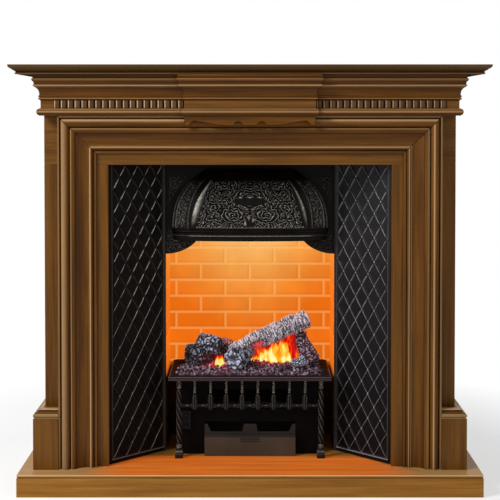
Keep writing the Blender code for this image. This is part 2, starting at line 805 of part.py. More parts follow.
def make_hood():
    levels = [0.0, 0.08, 0.28, 0.46, 0.60, 0.71, 0.80, 0.90, 1.0]
    hood = hood_sheet("hood", 1.0, levels, hood_columns, 0.0, hood_wall, "cast_black")
    behind = tool_block((-half_niche, half_niche), (niche_face_depth - seat_gap, casing_front + 0.02),
                        (fascia_edge_height, insert_top))
    combine(hood, behind, "DIFFERENCE")
    thick = hood_panel_thickness
    span = hood_panel_columns / hood_columns
    hood_sheet("hood_panel", span, levels[1:-2], hood_panel_columns, thick + 3 * seat_gap, thick,
               "cast_black")
    path = []
    for i in range(hood_columns + 1):
        point = hood_point(2 * i / hood_columns - 1, 0.0, 0.0)
        path.append(Vector((point.x, point.y, fascia_edge_height)))
    tall = hood_rim_height - seat_gap
    rim = [(-0.0100, 0.0), (-0.0020, 0.0), (0.0010, 0.0050), (0.0010, 0.0090), (-0.0010, 0.0120),
           (0.0020, 0.0160), (0.0050, 0.0210), (0.0060, 0.0260), (0.0040, tall), (-0.0060, tall)]
    ring = carried("hood_rim", rim, path, Vector((0, 0, 1)), "cast_black")
    behind = tool_block((-half_niche - 0.02, half_niche + 0.02),
                        (niche_face_depth - seat_gap, casing_front + 0.03),
                        (fascia_edge_height - 0.01, fascia_edge_height + 0.08))
    combine(ring, behind, "DIFFERENCE")


# Brick-effect back and sides of the niche, in running bond.
def brick_cells(width, height, shift):
    """Cells for courses of brick, each outline holding the joints of the next courses too."""
    levels = [0.0, brick_cut_course]
    while levels[-1] + brick_course < height:
        levels.append(levels[-1] + brick_course)
    levels.append(height)
    courses = len(levels) - 1

    def joints(row):
        offset = brick_length / 2 * ((row + shift) % 2)
        first = -math.ceil(width / brick_length) * brick_length + offset
        inner = []
        x = first
        while x < width:
            if -width / 2 + 0.02 < x < width / 2 - 0.02:
                inner.append(x)
            x += brick_length
        return [-width / 2] + inner + [width / 2]

    cells = []
    for row in range(courses):
        own = joints(row)
        below = joints(row - 1) if row else own
        above = joints(row + 1) if row < courses - 1 else own
        low, high = levels[row], levels[row + 1]
        for a, b in zip(own, own[1:]):
            outline = [(x, low) for x in sorted({a, b, *[q for q in below if a < q < b]})]
            outline += [(x, high) for x in sorted({a, b, *[q for q in above if a < q < b]}, reverse=True)]
            cells.append((outline, brick_joint / 2, brick_relief))
    return cells


def make_niche():
    height = insert_top - casing_wall - 2 * seat_gap - floor_z
    stand = Matrix.Rotation(math.radians(90), 4, "X")
    place = Matrix.Translation(at(0, brick_face_depth + brick_relief, floor_z)) @ stand
    thick = brick_thickness - brick_relief
    relief_panel("brick_back", brick_cells(niche_width + 2 * brick_thickness - 0.002, height, 0),
                 thick, place, "brick")
    front = casing_front
    length = brick_face_depth - seat_gap - front
    middle = front + length / 2
    for side, word in ((-1, "left"), (1, "right")):
        turn = Matrix.Rotation(math.radians(-90 * side), 4, "Z")
        place = Matrix.Translation(at(side * (half_niche + brick_relief), middle, floor_z)) @ turn @ stand
        relief_panel("brick_side_" + word, brick_cells(length, height, 1), thick, place, "brick")


# Steel casing round the brick panels, and the lamp that lights them from above.
def make_casing():
    half = casing_width / 2
    casing = board("casing", (-half, half), (casing_front, casing_back), (floor_z, insert_top),
                   "sheet_black")
    hollow = tool_block((-half + casing_wall, half - casing_wall),
                        (casing_front - 0.01, casing_back - casing_wall),
                        (floor_z - 0.01, insert_top - casing_wall))
    combine(casing, hollow, "DIFFERENCE")
    lamp_depth = casing_front + lamp_setback
    lamp_z = insert_top - casing_wall - lamp_drop
    ends = [at(-lamp_length / 2, lamp_depth, lamp_z), at(lamp_length / 2, lamp_depth, lamp_z)]
    lamp = tube("glow_lamp", ends, lamp_radius, "lamp", 2)
    for side in (-1, 1):
        edge = side * lamp_length / 2
        holder = tool_block(mirrored_range(lamp_length / 2 - 0.018, lamp_length / 2 + 0.004, side),
                            (lamp_depth - 0.014, lamp_depth + 0.014),
                            (lamp_z - 0.014, insert_top - casing_wall - seat_gap))
        combine(lamp, holder, "UNION")


# Fire basket: a tray on two turned legs with a row of spindles, backed by the heater housing.
def make_basket():
    half = tray_width / 2
    back = tray_front_depth + tray_depth
    tray = board("basket_tray", (-half, half), (tray_front_depth, back), (tray_bottom, tray_top),
                 "cast_black")
    well = tool_block((-half + tray_rim, half - tray_rim), (tray_front_depth + tray_rim, back - tray_rim),
                      (tray_bottom + tray_floor, tray_top + 0.01))
    combine(tray, well, "DIFFERENCE")
    foot_top = floor_z + foot_height
    side = foot_side / 2
    r = leg_radius
    length = leg_top - foot_top
    shape = [(0.0, 1.0), (1.15, 1.0), (1.15, 0.965), (0.75, 0.955), (0.72, 0.90), (1.0, 0.87), (0.72, 0.84),
             (0.66, 0.70), (0.60, 0.50), (0.78, 0.46), (0.60, 0.42), (0.66, 0.22), (0.75, 0.13),
             (1.05, 0.10), (0.80, 0.05), (1.1, 0.0), (0.0, 0.0)]
    mesh = turned_mesh("leg", [(r * a, foot_top + length * b) for a, b in shape], 12)
    for sign, word in ((-1, "left"), (1, "right")):
        x = sign * leg_spacing / 2
        leg = placed_copies("leg_" + word, mesh, [Matrix.Translation(at(x, leg_depth, 0))], "cast_black")
        foot = tool_block((x - side, x + side), (leg_depth - side, leg_depth + side),
                          (floor_z, foot_top + 0.001))
        combine(leg, foot, "UNION")
    r = spindle_radius
    bottom = tray_bottom - seat_gap - spindle_length
    shape = [(0.0, 1.0), (1.0, 1.0), (1.0, 0.93), (0.55, 0.90), (0.95, 0.82), (0.55, 0.74), (0.5, 0.56),
             (0.9, 0.52), (0.6, 0.48), (0.6, 0.12), (1.0, 0.08), (1.0, 0.0), (0.0, 0.0)]
    mesh = turned_mesh("spindle", [(r * a, bottom + spindle_length * b) for a, b in shape], 8)
    places = []
    for i in range(spindle_count):
        x = (i - (spindle_count - 1) / 2) * spindle_pitch
        places.append(Matrix.Translation(at(x, leg_depth, 0)))
    rail_half = leg_spacing / 2 + leg_radius
    rail_front = leg_depth + leg_radius * 1.2
    rail_bottom = hearth_top_z + rail_rise
    grate = board("front_grate", (-rail_half, rail_half), (rail_front, rail_front + rail_thickness),
                  (rail_bottom, rail_bottom + rail_height), "cast_black")
    for i, place in enumerate(places):
        x = (i - (spindle_count - 1) / 2) * spindle_pitch
        spindle = placed_copies("spindle", mesh, [place], "cast_black")
        lug = tool_block((x - 0.003, x + 0.003), (leg_depth, rail_front + 0.001),
                         (rail_bottom + 0.002, rail_bottom + rail_height - 0.002))
        combine(spindle, lug, "UNION")
        combine(grate, spindle, "UNION")


# Fuel bed: a moulded ember tray with the logs set into it. It lifts out of the basket.
def make_fuel_bed():
    half = tray_width / 2 - tray_rim - slide_gap
    front = tray_front_depth + tray_rim + slide_gap
    back = tray_front_depth + tray_depth - tray_rim - slide_gap
    bottom = tray_bottom + tray_floor + seat_gap
    columns, rows = 12, 6
    bm = bmesh.new()
    grid = []
    for j in range(rows + 1):
        line = []
        for i in range(columns + 1):
            u, v = i / columns, j / rows
            crown = bed_crown * math.sin(math.pi * u) ** 0.6 * math.sin(math.pi * v) ** 0.6
            lumps = 0.004 * math.sin(7.3 * u * math.pi + 1.7) * math.sin(5.1 * v * math.pi + 0.6)
            edge = math.sin(math.pi * u) * math.sin(math.pi * v)
            z = tray_top + bed_rise * 0.2 + crown + lumps * edge
            line.append(bm.verts.new(at(-half + 2 * half * u, front + (back - front) * v, z)))
        grid.append(line)
    for j in range(rows):
        for i in range(columns):
            bm.faces.new((grid[j][i], grid[j][i + 1], grid[j + 1][i + 1], grid[j + 1][i]))
    rim = [edge for edge in bm.edges if edge.is_boundary]
    walls = bmesh.ops.extrude_edge_only(bm, edges=rim)["geom"]
    for item in walls:
        if isinstance(item, bmesh.types.BMVert):
            item.co.z = bottom
    loop = [item for item in walls if isinstance(item, bmesh.types.BMEdge) and item.is_boundary]
    bmesh.ops.edgeloop_fill(bm, edges=loop)
    return new_object("ember_bed", mesh_from(bm, "ember_bed"), "embers")


# Each log is (start, end, radius, bend): points are x, depth, z.
log_shapes = {
    "log_rear_left": ((-0.186, 0.260, 0.364), (-0.093, 0.322, 0.364), 0.0355, 0.003),
    "log_upper_left": ((-0.160, 0.290, 0.413), (-0.102, 0.262, 0.379), 0.025, 0.001),
    "log_front": ((-0.052, 0.192, 0.366), (-0.012, 0.300, 0.370), 0.034, 0.003),
    "log_diagonal": ((-0.040, 0.236, 0.388), (0.180, 0.300, 0.468), 0.0265, 0.002),
    "log_right": ((0.158, 0.302, 0.418), (0.195, 0.255, 0.342), 0.0245, 0.002),
}


def make_logs(bed):
    made = []
    for name, (start, end, radius, bend) in log_shapes.items():
        begin, finish_point = at(*start), at(*end)
        points, radii = [], []
        for i in range(8):
            share = i / 7
            point = begin.lerp(finish_point, share)
            point.z += bend * math.sin(math.pi * share)
            points.append(point)
            radii.append(0.94 + 0.08 * math.sin(5.0 * share + 9.0 * radius * 100))
        log = tube(name, points, radius, "log", 3, radii)
        for other in made:
            combine(log, grown_copy(other, log_clearance), "DIFFERENCE")
        made.append(log)
    for log in made:
        combine(bed, grown_copy(log, log_clearance), "DIFFERENCE")


def grown_copy(thing, distance):
    """A copy whose surface is moved out by a distance, to cut a seat with clearance."""
    bm = bmesh.new()
    bm.from_mesh(thing.data)
    bm.normal_update()
    moves = [(vert, vert.normal * vert.calc_shell_factor() * distance) for vert in bm.verts]
    for vert, move in moves:
        vert.co += move
    mesh = mesh_from(bm, "grown")
    grown = bpy.data.objects.new("grown", mesh)
    cutters.objects.link(grown)
    return grown


# Heater housing: straddles the ash pan, open behind, with a grille slot in front.
def make_heater():
    half = housing_width / 2
    bay = bay_width / 2
    bay_top = hearth_top_z + bay_height
    outline = [(-half, floor_z), (-bay, floor_z), (-bay, bay_top), (bay, bay_top), (bay, floor_z),
               (half, floor_z), (half, housing_top), (-half, housing_top)]
    long = housing_back_depth - housing_front_depth
    housing = plate("heater_housing", [outline], long,
                    upright_frame(housing_front_depth + long / 2), "sheet_black")
    cavity = tool_block((-half_cavity, half_cavity), (cavity_front, housing_back_depth + 0.01),
                        (cavity_floor, cavity_top))
    combine(housing, cavity, "DIFFERENCE")
    slot_middle = (cavity_floor + cavity_top) / 2
    slot = tool_block((-grille_width / 2, grille_width / 2),
                      (housing_front_depth - 0.01, cavity_front + 0.01),
                      (slot_middle - grille_height / 2, slot_middle + grille_height / 2))
    combine(housing, slot, "DIFFERENCE")

    axis_depth = cavity_front + fan_radius + 0.030
    axis_z = slot_middle
    star = []
    for i in range(fan_blades):
        turn = 360 * i / fan_blades
        for radius, lead in ((0.45, 0), (1.0, 4), (1.0, 9), (0.45, 13)):
            a = math.radians(turn + lead)
            star.append((fan_radius * radius * math.cos(a), fan_radius * radius * math.sin(a)))
    offset = Matrix.Translation(Vector((0, axis_depth - hearth_depth / 2, axis_z)))
    lie = Matrix(((0, 0, 1, 0), (1, 0, 0, 0), (0, 1, 0, 0), (0, 0, 0, 1)))
    rotor = plate("fan_rotor", [star], fan_length, offset @ lie, "plastic")
    motor_inner = half_cavity - seat_gap - motor_length
    shaft = tube("shaft", [at(-half_cavity + slide_gap, axis_depth, axis_z),
                           at(motor_inner - slide_gap, axis_depth, axis_z)], shaft_radius, "steel", 1)
    combine(rotor, shaft, "UNION")
    shape = [(0.0, motor_length), (motor_radius, motor_length), (motor_radius, motor_length * 0.12),
             (motor_radius * 0.55, 0.0), (0.0, 0.0)]
    motor = turned_mesh("motor", shape, 16)
    point_right = Matrix.Rotation(math.radians(90), 4, "Y")
    placed_copies("fan_motor", motor,
                  [Matrix.Translation(at(motor_inner, axis_depth, axis_z)) @ point_right], "steel")

    element_depth = cavity_front + 0.012
    low = slot_middle - grille_height / 2 + 0.008
    pitch = (grille_height - 0.016) / (element_runs - 1)
    reach = grille_width / 2 - 0.012
    wire = [at(-half_cavity + seat_gap, element_depth, low)]
    for run in range(element_runs):
        z = low + run * pitch
        wire += [at(x, element_depth, z) for x in ((-reach, reach) if run % 2 == 0 else (reach, -reach))]
    wire.append(at(half_cavity - seat_gap, element_depth, low + (element_runs - 1) * pitch))
    tube("heating_element", wire, element_radius, "steel", 1)

    tank_back = housing_back_depth - 0.006
    board("mist_tank", (-tank_width / 2, tank_width / 2), (tank_back - tank_depth, tank_back),
          (cavity_floor + seat_gap, cavity_top - seat_gap), "plastic")
    gland_z = hearth_top_z + 0.045
    gland = turned_mesh("gland", [(0.0, gland_length), (gland_radius * 0.6, gland_length),
                                  (gland_radius, gland_length * 0.35), (gland_radius, 0.0), (0.0, 0.0)], 12)
    aim_back = Matrix.Rotation(math.radians(-90), 4, "X")
    placed_copies("cable_gland", gland,
                  [Matrix.Translation(at(half_niche * 0.8, casing_back + seat_gap, gland_z)) @ aim_back],
                  "plastic")


# Control panel with a flame knob and two rockers, left of the grille.
def make_controls():
    middle = -(housing_width - panel_width) / 2
    back = housing_front_depth - seat_gap
    front = back - panel_thickness
    top = panel_bottom + panel_height
    panel = board("control_panel", (middle - panel_width / 2, middle + panel_width / 2), (front, back),
                  (panel_bottom, top), "plastic")
    rocker_depth = (front - rocker_proud, front + rocker_sunk)
    for i, word in enumerate(("heat", "power")):
        z = panel_bottom + rocker_rise + i * rocker_spacing
        half_wide, half_tall = rocker_width / 2, rocker_height / 2
        pocket = tool_block((middle - half_wide - control_gap, middle + half_wide + control_gap),
                            (front - 0.01, front + rocker_sunk + 2 * control_gap),
                            (z - half_tall - 2 * control_gap, z + half_tall + 2 * control_gap))
        combine(panel, pocket, "DIFFERENCE")
        board(word + "_rocker", (middle - half_wide, middle + half_wide), rocker_depth,
              (z - half_tall, z + half_tall), "plastic")
    knob_z = panel_bottom + knob_rise
    grip = knob_radius * 0.86
    knob = turned_mesh("knob", [(0.0, knob_length), (grip * 0.9, knob_length), (grip, knob_length * 0.85),
                                (grip, knob_length * 0.3), (knob_radius, knob_length * 0.2),
                                (knob_radius, 0.0), (0.0, 0.0)], 20)
    aim_front = Matrix.Rotation(math.radians(90), 4, "X")
    placed_copies("flame_knob", knob,
                  [Matrix.Translation(at(middle, front - control_gap, knob_z)) @ aim_front], "steel")


# Ash pan: an open tray with a proud face, a shaped lip above it and a finger slot.
def make_ash_pan():
    half = pan_width / 2
    bottom = floor_z + seat_gap
    face_top = bottom + pan_face_height
    lip_top = bottom + pan_lip_height
    valley = face_top + 0.014
    corner = half - pan_corner_width * 0.45
    lean = pan_corner_width * 0.55
    tab = pan_tab_width / 2
    right = [(tab * 1.25, valley), (corner - lean, valley), (corner, lip_top), (half, lip_top),
             (half, bottom)]
    left = [(-x, z) for x, z in reversed(right)]
    outline = [(-tab, lip_top), (tab, lip_top)] + right + left
    lip_depth = pan_front_depth + pan_face_thickness
    pan = plate("ash_pan", [outline], pan_wall, upright_frame(lip_depth + pan_wall / 2), "sheet_black")
    face = tool_block((-half, half), (pan_front_depth, lip_depth + 0.0005), (bottom, face_top))
    combine(pan, face, "UNION")
    body = tool_block((-half, half), (lip_depth + pan_wall / 2, pan_front_depth + pan_length),
                      (bottom, face_top))
    combine(pan, body, "UNION")
    hollow = tool_block((-half + pan_wall, half - pan_wall),
                        (lip_depth + pan_wall, pan_front_depth + pan_length - pan_wall),
                        (bottom + pan_wall, face_top + 0.01))
    combine(pan, hollow, "DIFFERENCE")
    slot_z = face_top - 0.005
    slot = tool_block((-pan_slot_width / 2, pan_slot_width / 2),
                      (pan_front_depth - 0.01, pan_front_depth + pan_slot_depth),
                      (slot_z - pan_slot_height, slot_z))
    combine(pan, slot, "DIFFERENCE")


make_hearth()
make_carcass()
make_plinths()
make_architrave()
make_header()
make_apron()
make_shelf()
make_cheeks()
make_fascia()
make_canopy()
make_hood()
make_niche()
make_casing()
make_basket()
ember_bed = make_fuel_bed()
make_logs(ember_bed)
make_heater()
make_controls()
make_ash_pan()

faces = 0
for piece in sorted(suite.objects, key=lambda thing: thing.name):
    piece.data.calc_loop_triangles()
    faces += len(piece.data.loop_triangles)
    print(piece.name, len(piece.data.loop_triangles))
print("pieces", len(suite.objects), "triangles", faces)
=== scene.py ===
import functools
import math

import bmesh
import bpy
import numpy as np
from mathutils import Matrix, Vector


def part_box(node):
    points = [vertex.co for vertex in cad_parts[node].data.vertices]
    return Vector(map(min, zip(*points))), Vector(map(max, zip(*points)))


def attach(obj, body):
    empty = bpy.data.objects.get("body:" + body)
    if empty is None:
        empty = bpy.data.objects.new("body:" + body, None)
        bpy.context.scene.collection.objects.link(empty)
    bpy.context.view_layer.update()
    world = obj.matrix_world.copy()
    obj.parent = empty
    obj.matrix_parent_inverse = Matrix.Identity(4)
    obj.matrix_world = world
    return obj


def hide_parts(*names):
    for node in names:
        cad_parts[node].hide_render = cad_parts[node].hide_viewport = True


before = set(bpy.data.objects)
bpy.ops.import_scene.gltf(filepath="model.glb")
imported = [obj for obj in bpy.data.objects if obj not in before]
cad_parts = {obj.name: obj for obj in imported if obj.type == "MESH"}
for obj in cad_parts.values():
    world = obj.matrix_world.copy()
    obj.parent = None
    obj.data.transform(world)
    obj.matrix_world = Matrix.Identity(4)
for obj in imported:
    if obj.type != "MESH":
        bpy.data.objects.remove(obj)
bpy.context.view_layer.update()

print("stage: frame loaded,", len(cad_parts), "solids")

hearthDepth = 0.460          # world Y = depth - half of this
halfDepth = hearthDepth / 2
seatGap = 0.0003             # clearance between touching solids in the frame
floorZ = 0.0653              # top of the hearth, where everything stands
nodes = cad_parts


def hexToLinear(code):
    # sRGB to linear: ((s + 0.055) / 1.055) ** 2.4 above the toe, s / 12.92 below it
    srgb = np.array([int(code[i:i + 2], 16) for i in (0, 2, 4)]) / 255.0
    linear = np.where(srgb > 0.04045, ((srgb + 0.055) / 1.055) ** 2.4, srgb / 12.92)
    return (*linear.tolist(), 1.0)


def at(x, depth, z):
    # depth behind the hearth's front edge becomes world Y
    return np.array([x, depth - halfDepth, z])


def ease(low, high, value):
    # smooth step: 3 t^2 - 2 t^3, where t is the place of value between low and high
    t = np.clip((value - low) / (high - low), 0.0, 1.0)
    return t * t * (3.0 - 2.0 * t)


def boxCorners(name):
    # the low and the high corner of a solid's box in the frame
    return (np.array(corner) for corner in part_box(name))


def crossed(first, second):
    # two grids that give each point's first and second measure
    return np.meshgrid(first, second, indexing="ij")


def gridFaces(rows, columns, wrapRows=False, wrapColumns=False):
    # each quad joins a grid point to the next column, the next row and the one across
    a, b = crossed(np.arange(rows if wrapRows else rows - 1),
                   np.arange(columns if wrapColumns else columns - 1))
    c, d = (a + 1) % rows, (b + 1) % columns
    return np.stack([a * columns + b, a * columns + d, c * columns + d, c * columns + b],
                    axis=-1).reshape(-1, 4)


def perPoint(field, values, rows, columns):
    # a field's values for every point of a grid: two numbers each for "uv", one for any other
    width = 2 if field == "uv" else 1
    return np.broadcast_to(values, (rows, columns, 2)[:width + 1]).reshape(-1, width)


def gridPart(grid, wrapRows=False, wrapColumns=False, capRows=False, extraFaces=(), **fields):
    # a part is its points, its faces and a value for each point in each named field
    rows, columns = grid.shape[:2]
    faces = gridFaces(rows, columns, wrapRows, wrapColumns).tolist()
    if capRows:
        faces.append(list(range(columns)))
        faces.append(list(range((rows - 1) * columns, rows * columns)))
    faces.extend(extraFaces)
    part = {"points": grid.reshape(-1, 3), "faces": faces}
    for field, values in fields.items():
        part[field] = perPoint(field, values, rows, columns)
    return part


def closedPart(grid, **fields):
    # a grid whose rows are rings, with both ends capped
    return gridPart(grid, wrapColumns=True, capRows=True, **fields)


def makePiece(name, parts, body, material, replaced=(), sharpAngle=32):
    # joins the parts, turns every shell outwards and marks edges sharper than the angle
    offset, faces = 0, []
    for part in parts:
        faces.extend([[i + offset for i in face] for face in part["faces"]])
        offset += len(part["points"])
    mesh = bpy.data.meshes.new(name)
    mesh.from_pydata(np.concatenate([p["points"] for p in parts]).tolist(), [], faces)
    for field in sorted({key for p in parts for key in p} - {"points", "faces"}):
        width = 2 if field == "uv" else 1
        values = np.concatenate([p.get(field, np.zeros((len(p["points"]), width))) for p in parts])
        if field == "uv":
            corners = np.zeros(len(mesh.loops), np.int32)
            mesh.loops.foreach_get("vertex_index", corners)
            mesh.uv_layers.new(name="grainUv").data.foreach_set("uv", values[corners].ravel())
        else:
            mesh.attributes.new(field, "FLOAT", "POINT").data.foreach_set("value", values.ravel())
    work = bmesh.new()
    work.from_mesh(mesh)
    bmesh.ops.recalc_face_normals(work, faces=work.faces)
    work.to_mesh(mesh)
    work.free()
    mesh.shade_smooth()
    mesh.set_sharp_from_angle(angle=math.radians(sharpAngle))
    mesh.materials.append(material)
    piece = bpy.data.objects.new(name, mesh)
    bpy.context.scene.collection.objects.link(piece)
    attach(piece, body)
    if replaced:
        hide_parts(*replaced)
    return piece


def arcPoints(centre, radius, start, end, steps=14):
    # centre + (rx cos a, ry sin a) for angles a spread evenly from start to end, in degrees
    a = np.radians(np.linspace(start, end, steps + 1))
    rx, ry = radius if isinstance(radius, tuple) else (radius, radius)
    return np.stack([centre[0] + rx * np.cos(a), centre[1] + ry * np.sin(a)], axis=1)


def outline(*pieces):
    # strings points and arcs into one closed outline without repeats
    points = np.vstack([np.atleast_2d(np.array(p, float)) for p in pieces])
    keep = np.linalg.norm(points - np.roll(points, 1, axis=0), axis=1) > 0.00004
    return points[keep]


def softenCorners(points, radius=0.0007, steps=3):
    # each corner becomes a parabola (1-t)^2 a + 2 t (1-t) p + t^2 b between points set back on
    # its two edges, with one more point further back so that the flats stay flat when shaded
    before = np.roll(points, 1, axis=0) - points
    after = np.roll(points, -1, axis=0) - points
    longBefore = np.linalg.norm(before, axis=1, keepdims=True)
    longAfter = np.linalg.norm(after, axis=1, keepdims=True)
    cut = np.minimum(radius, 0.30 * np.minimum(longBefore, longAfter))
    a, b = points + before / longBefore * cut, points + after / longAfter * cut
    outerA, outerB = a + before / longBefore * cut * 0.45, b + after / longAfter * cut * 0.45
    t = np.linspace(0, 1, steps + 1)[None, :, None]
    curve = (1 - t) ** 2 * a[:, None] + 2 * t * (1 - t) * points[:, None] + t ** 2 * b[:, None]
    return np.concatenate([outerA[:, None], curve, outerB[:, None]], axis=1).reshape(-1, 2)


def outlineRelief(points, reach=0.0022):
    # how far each point stands out of the line between the outline's points at +-reach along it,
    # over that reach: above 0 on an arris, below 0 in a groove
    loop = np.vstack([points, points[:1]])
    step = np.linalg.norm(np.diff(loop, axis=0), axis=1)
    along = np.concatenate([[0], np.cumsum(step)])
    turns = np.concatenate([along - along[-1], along[1:], along[1:] + along[-1]])
    wide = np.vstack([loop, loop[1:], loop[1:]])
    here = along[:-1]
    sample = lambda s: np.stack([np.interp(s, turns, wide[:, i]) for i in (0, 1)], axis=1)
    ahead, behind = sample(here + reach), sample(here - reach)
    chord = ahead - behind
    normal = np.stack([chord[:, 1], -chord[:, 0]], axis=1)
    normal /= np.linalg.norm(normal, axis=1, keepdims=True) + 1e-9
    area = 0.5 * np.sum(loop[:-1, 0] * loop[1:, 1] - loop[1:, 0] * loop[:-1, 1])
    return np.sign(area) * np.sum((points - (ahead + behind) / 2) * normal, axis=1) / reach, here


def carryProfile(profile, path, up, trim=0.00015, shade=0.55, closed=False, keep=1.0, add=0.0):
    # a closed profile (out, high) carried along each arm of a path: corner + mitre * out + up * high,
    # where mitre is the sum of the two arms' side vectors over 1 + their dot product. Every arm is a
    # solid of its own that stops just short of the mitre, and is shaded dark at the joint. The relief,
    # which the material paints as highlight on arrises and shade in hollows, is multiplied by keep and
    # raised by add, which place painted highlight and shade, with glaze in the hollows; add may have a
    # row for each arm.
    path, up = np.array(path, float), np.array(up, float)
    loop = np.vstack([path, path[:1]]) if closed else path
    run = np.diff(loop, axis=0)
    length = np.linalg.norm(run, axis=1, keepdims=True)
    run /= length
    side = np.cross(run, up)
    before = np.vstack([side[-1:] if closed else side[:1], side])
    after = np.vstack([side, side[:1] if closed else side[-1:]])
    mitre = (before + after) / (1 + np.sum(before * after, axis=1, keepdims=True))
    relief, across = outlineRelief(profile)
    relief = np.broadcast_to(relief * keep + add, (len(run), len(profile)))
    rings = loop[:, None] + mitre[:, None] * profile[None, :, :1] + up * profile[None, :, 1:]
    parts = []
    for arm in range(len(run)):
        first = trim if (closed or arm > 0) else 0.0
        last = trim if (closed or arm < len(run) - 1) else 0.0
        start, end = rings[arm] + run[arm] * first, rings[arm + 1] - run[arm] * last
        edge = 0.0016 / length[arm]
        share = np.array([0.0, edge[0], 0.5, 1.0 - edge[0], 1.0])[:, None, None]
        grid = start + (end - start) * share
        dark = np.array([shade if first else 0, 0, 0, 0, shade if last else 0])[:, None]
        uv = np.stack([(grid - loop[arm]) @ run[arm], np.broadcast_to(across, grid.shape[:2])], -1)
        uv = uv + np.array([arm * 1.7, arm * 0.3])
        parts.append(closedPart(grid, uv=uv, relief=relief[arm] - dark))
    return parts


# Materials: each tree's add is addNode with that tree already given

def outputOf(source):
    # a node stands for its first output in use, and a pair (node, output) for that output
    if isinstance(source, tuple):
        return source[0].outputs[source[1]]
    if isinstance(source, bpy.types.NodeSocket):
        return source
    return next(output for output in source.outputs if output.enabled)


def feed(node, links):
    # links are the sources of the node's sockets, by the sockets' names or numbers
    for key, source in links.items():
        node.id_data.links.new(outputOf(source), node.inputs[key])


def addNode(tree, kind, settings=None, links=None):
    # settings are sockets by name or number, or properties of the node; links are sockets to feed
    node = tree.nodes.new("ShaderNode" + kind)
    for key, value in (settings or {}).items():
        if isinstance(key, int) or key in node.inputs:
            node.inputs[key].default_value = value
        else:
            setattr(node, key, value)
    feed(node, links or {})
    return node


def setRamp(node, stops):
    # stops are (place, hex or grey value), in order
    ramp = node.color_ramp
    while len(ramp.elements) < len(stops):
        ramp.elements.new(0.5)
    for element, (place, tone) in zip(ramp.elements, stops):
        element.position = place
        element.color = hexToLinear(tone) if isinstance(tone, str) else (tone, tone, tone, 1.0)
    return node


def startMaterial(name, **sockets):
    # a Principled material, with constants set on the shader's own sockets, and its Object coordinates
    material = bpy.data.materials.new(name)
    material.use_nodes = True
    tree = material.node_tree
    shader = tree.nodes["Principled BSDF"]
    words = {"specular": "Specular IOR Level", "roughness": "Roughness", "glow": "Emission Strength"}
    for key, value in sockets.items():
        shader.inputs[words[key]].default_value = value
    add = functools.partial(addNode, tree)
    return material, add, shader, add("TexCoord").outputs["Object"]


def fieldValue(add, field):
    # the value of a mesh field made by makePiece
    return add("Attribute", {"attribute_name": field}).outputs["Fac"]


woodGrain = {
    "figureLong": 0.42,       # length of the broad light and dark figure, in metres
    "figureAcross": 0.021,    # and its width
    "streakLong": 0.16,       # length of the fine streaks
    "streakAcross": 0.0030,   # and their width
    "poreLong": 0.018,        # pores are 0.3 mm wide in real mahogany, drawn 1.1 mm so that they show
    "poreAcross": 0.0011,
    "poreDepth": 0.00012,
}


def lacqueredMahogany(name, grain, dark, middle, light, arris="B8966A", groove="321400", specular=0.13):
    # mahogany veneer and solid mouldings, walnut-stained and sprayed with satin lacquer: soft
    # highlights; the field "relief" paints thin highlights light on the arrises and shade dark in
    # the quirks, the dark standing also for glaze left there
    roughness = 0.40
    material, add, shader, spot = startMaterial(name, specular=specular, roughness=roughness)
    source = (add("TexCoord"), "UV") if grain == "uv" else spot
    alongFirst = {"x": (0, 0, 0), "z": (0, math.pi / 2, 0), "uv": (0, 0, 0)}
    turned = add("Mapping", {"Rotation": alongFirst[grain]}, {"Vector": source})
    w = woodGrain
    layers = []
    for word, detail, lift in (("figure", 3.0, 0.0), ("streak", 2.0, 7.0), ("pore", 1.0, 3.0)):
        long, across = w[word + "Long"], w[word + "Across"]
        scaled = add("Mapping", {"Scale": (1 / long, 1 / across, 1 / across),
                                 "Location": (lift, lift, lift)}, {"Vector": turned})
        layers.append(add("TexNoise", {"Scale": 1.0, "Detail": detail, "Roughness": 0.55,
                                       "Distortion": 0.15}, {"Vector": scaled}))
    figure, streak, pores = layers
    both = add("Mix", {"data_type": "FLOAT", 0: 0.38}, {2: figure, 3: streak})
    colour = setRamp(add("ValToRGB", None, {0: both}),
                     [(0.36, dark), (0.50, middle), (0.66, light)])
    poreMask = setRamp(add("ValToRGB", None, {0: pores}), [(0.60, 0.0), (0.70, 0.42)])
    colour = add("Mix", {"data_type": "RGBA", 7: hexToLinear(dark)}, {0: poreMask, 6: colour})
    relief = fieldValue(add, "relief")
    for start, full, most, paint in ((0.04, 0.34, 0.86, arris), (-0.03, -0.30, 0.92, groove)):
        share = add("MapRange", {1: start, 2: full, 3: 0.0, 4: most}, {0: relief})
        colour = add("Mix", {"data_type": "RGBA", 7: hexToLinear(paint)}, {0: share, 6: colour})
    bump = add("Bump", {"Strength": 0.5, "Distance": w["poreDepth"], "invert": True},
               {"Height": poreMask})
    gloss = add("MapRange", {1: 0.3, 2: 0.7, 3: roughness - 0.05, 4: roughness + 0.08}, {0: figure})
    feed(shader, {"Base Color": colour, "Roughness": gloss, "Normal": bump})
    return material


fireLight = {
    "endsX": 0.54, "fullX": 0.36,            # the light falls this far either side of the middle
    "endsY": -0.02, "fullY": -0.06,          # and none lies under the fire basket
    "cheekSlope": 0.931, "cheekEdge": (0.268, 0.264),    # nor beyond slope * |x| + y = edge, the cheeks
    "topSkin": (0.0016, 0.0004),             # the top is what lies this close below its height
    # painted light: a paler tone on the top by |x|, and a painted highlight along the front arris
    "palerX": (0.38, 0.52), "paler": (0.02, 0.36),       # share of the paler tone by |x|
    "arrisY": (-0.2258, -0.2270), "arrisDrop": (0.0034, 0.0026), "arrisShare": 0.75,
}


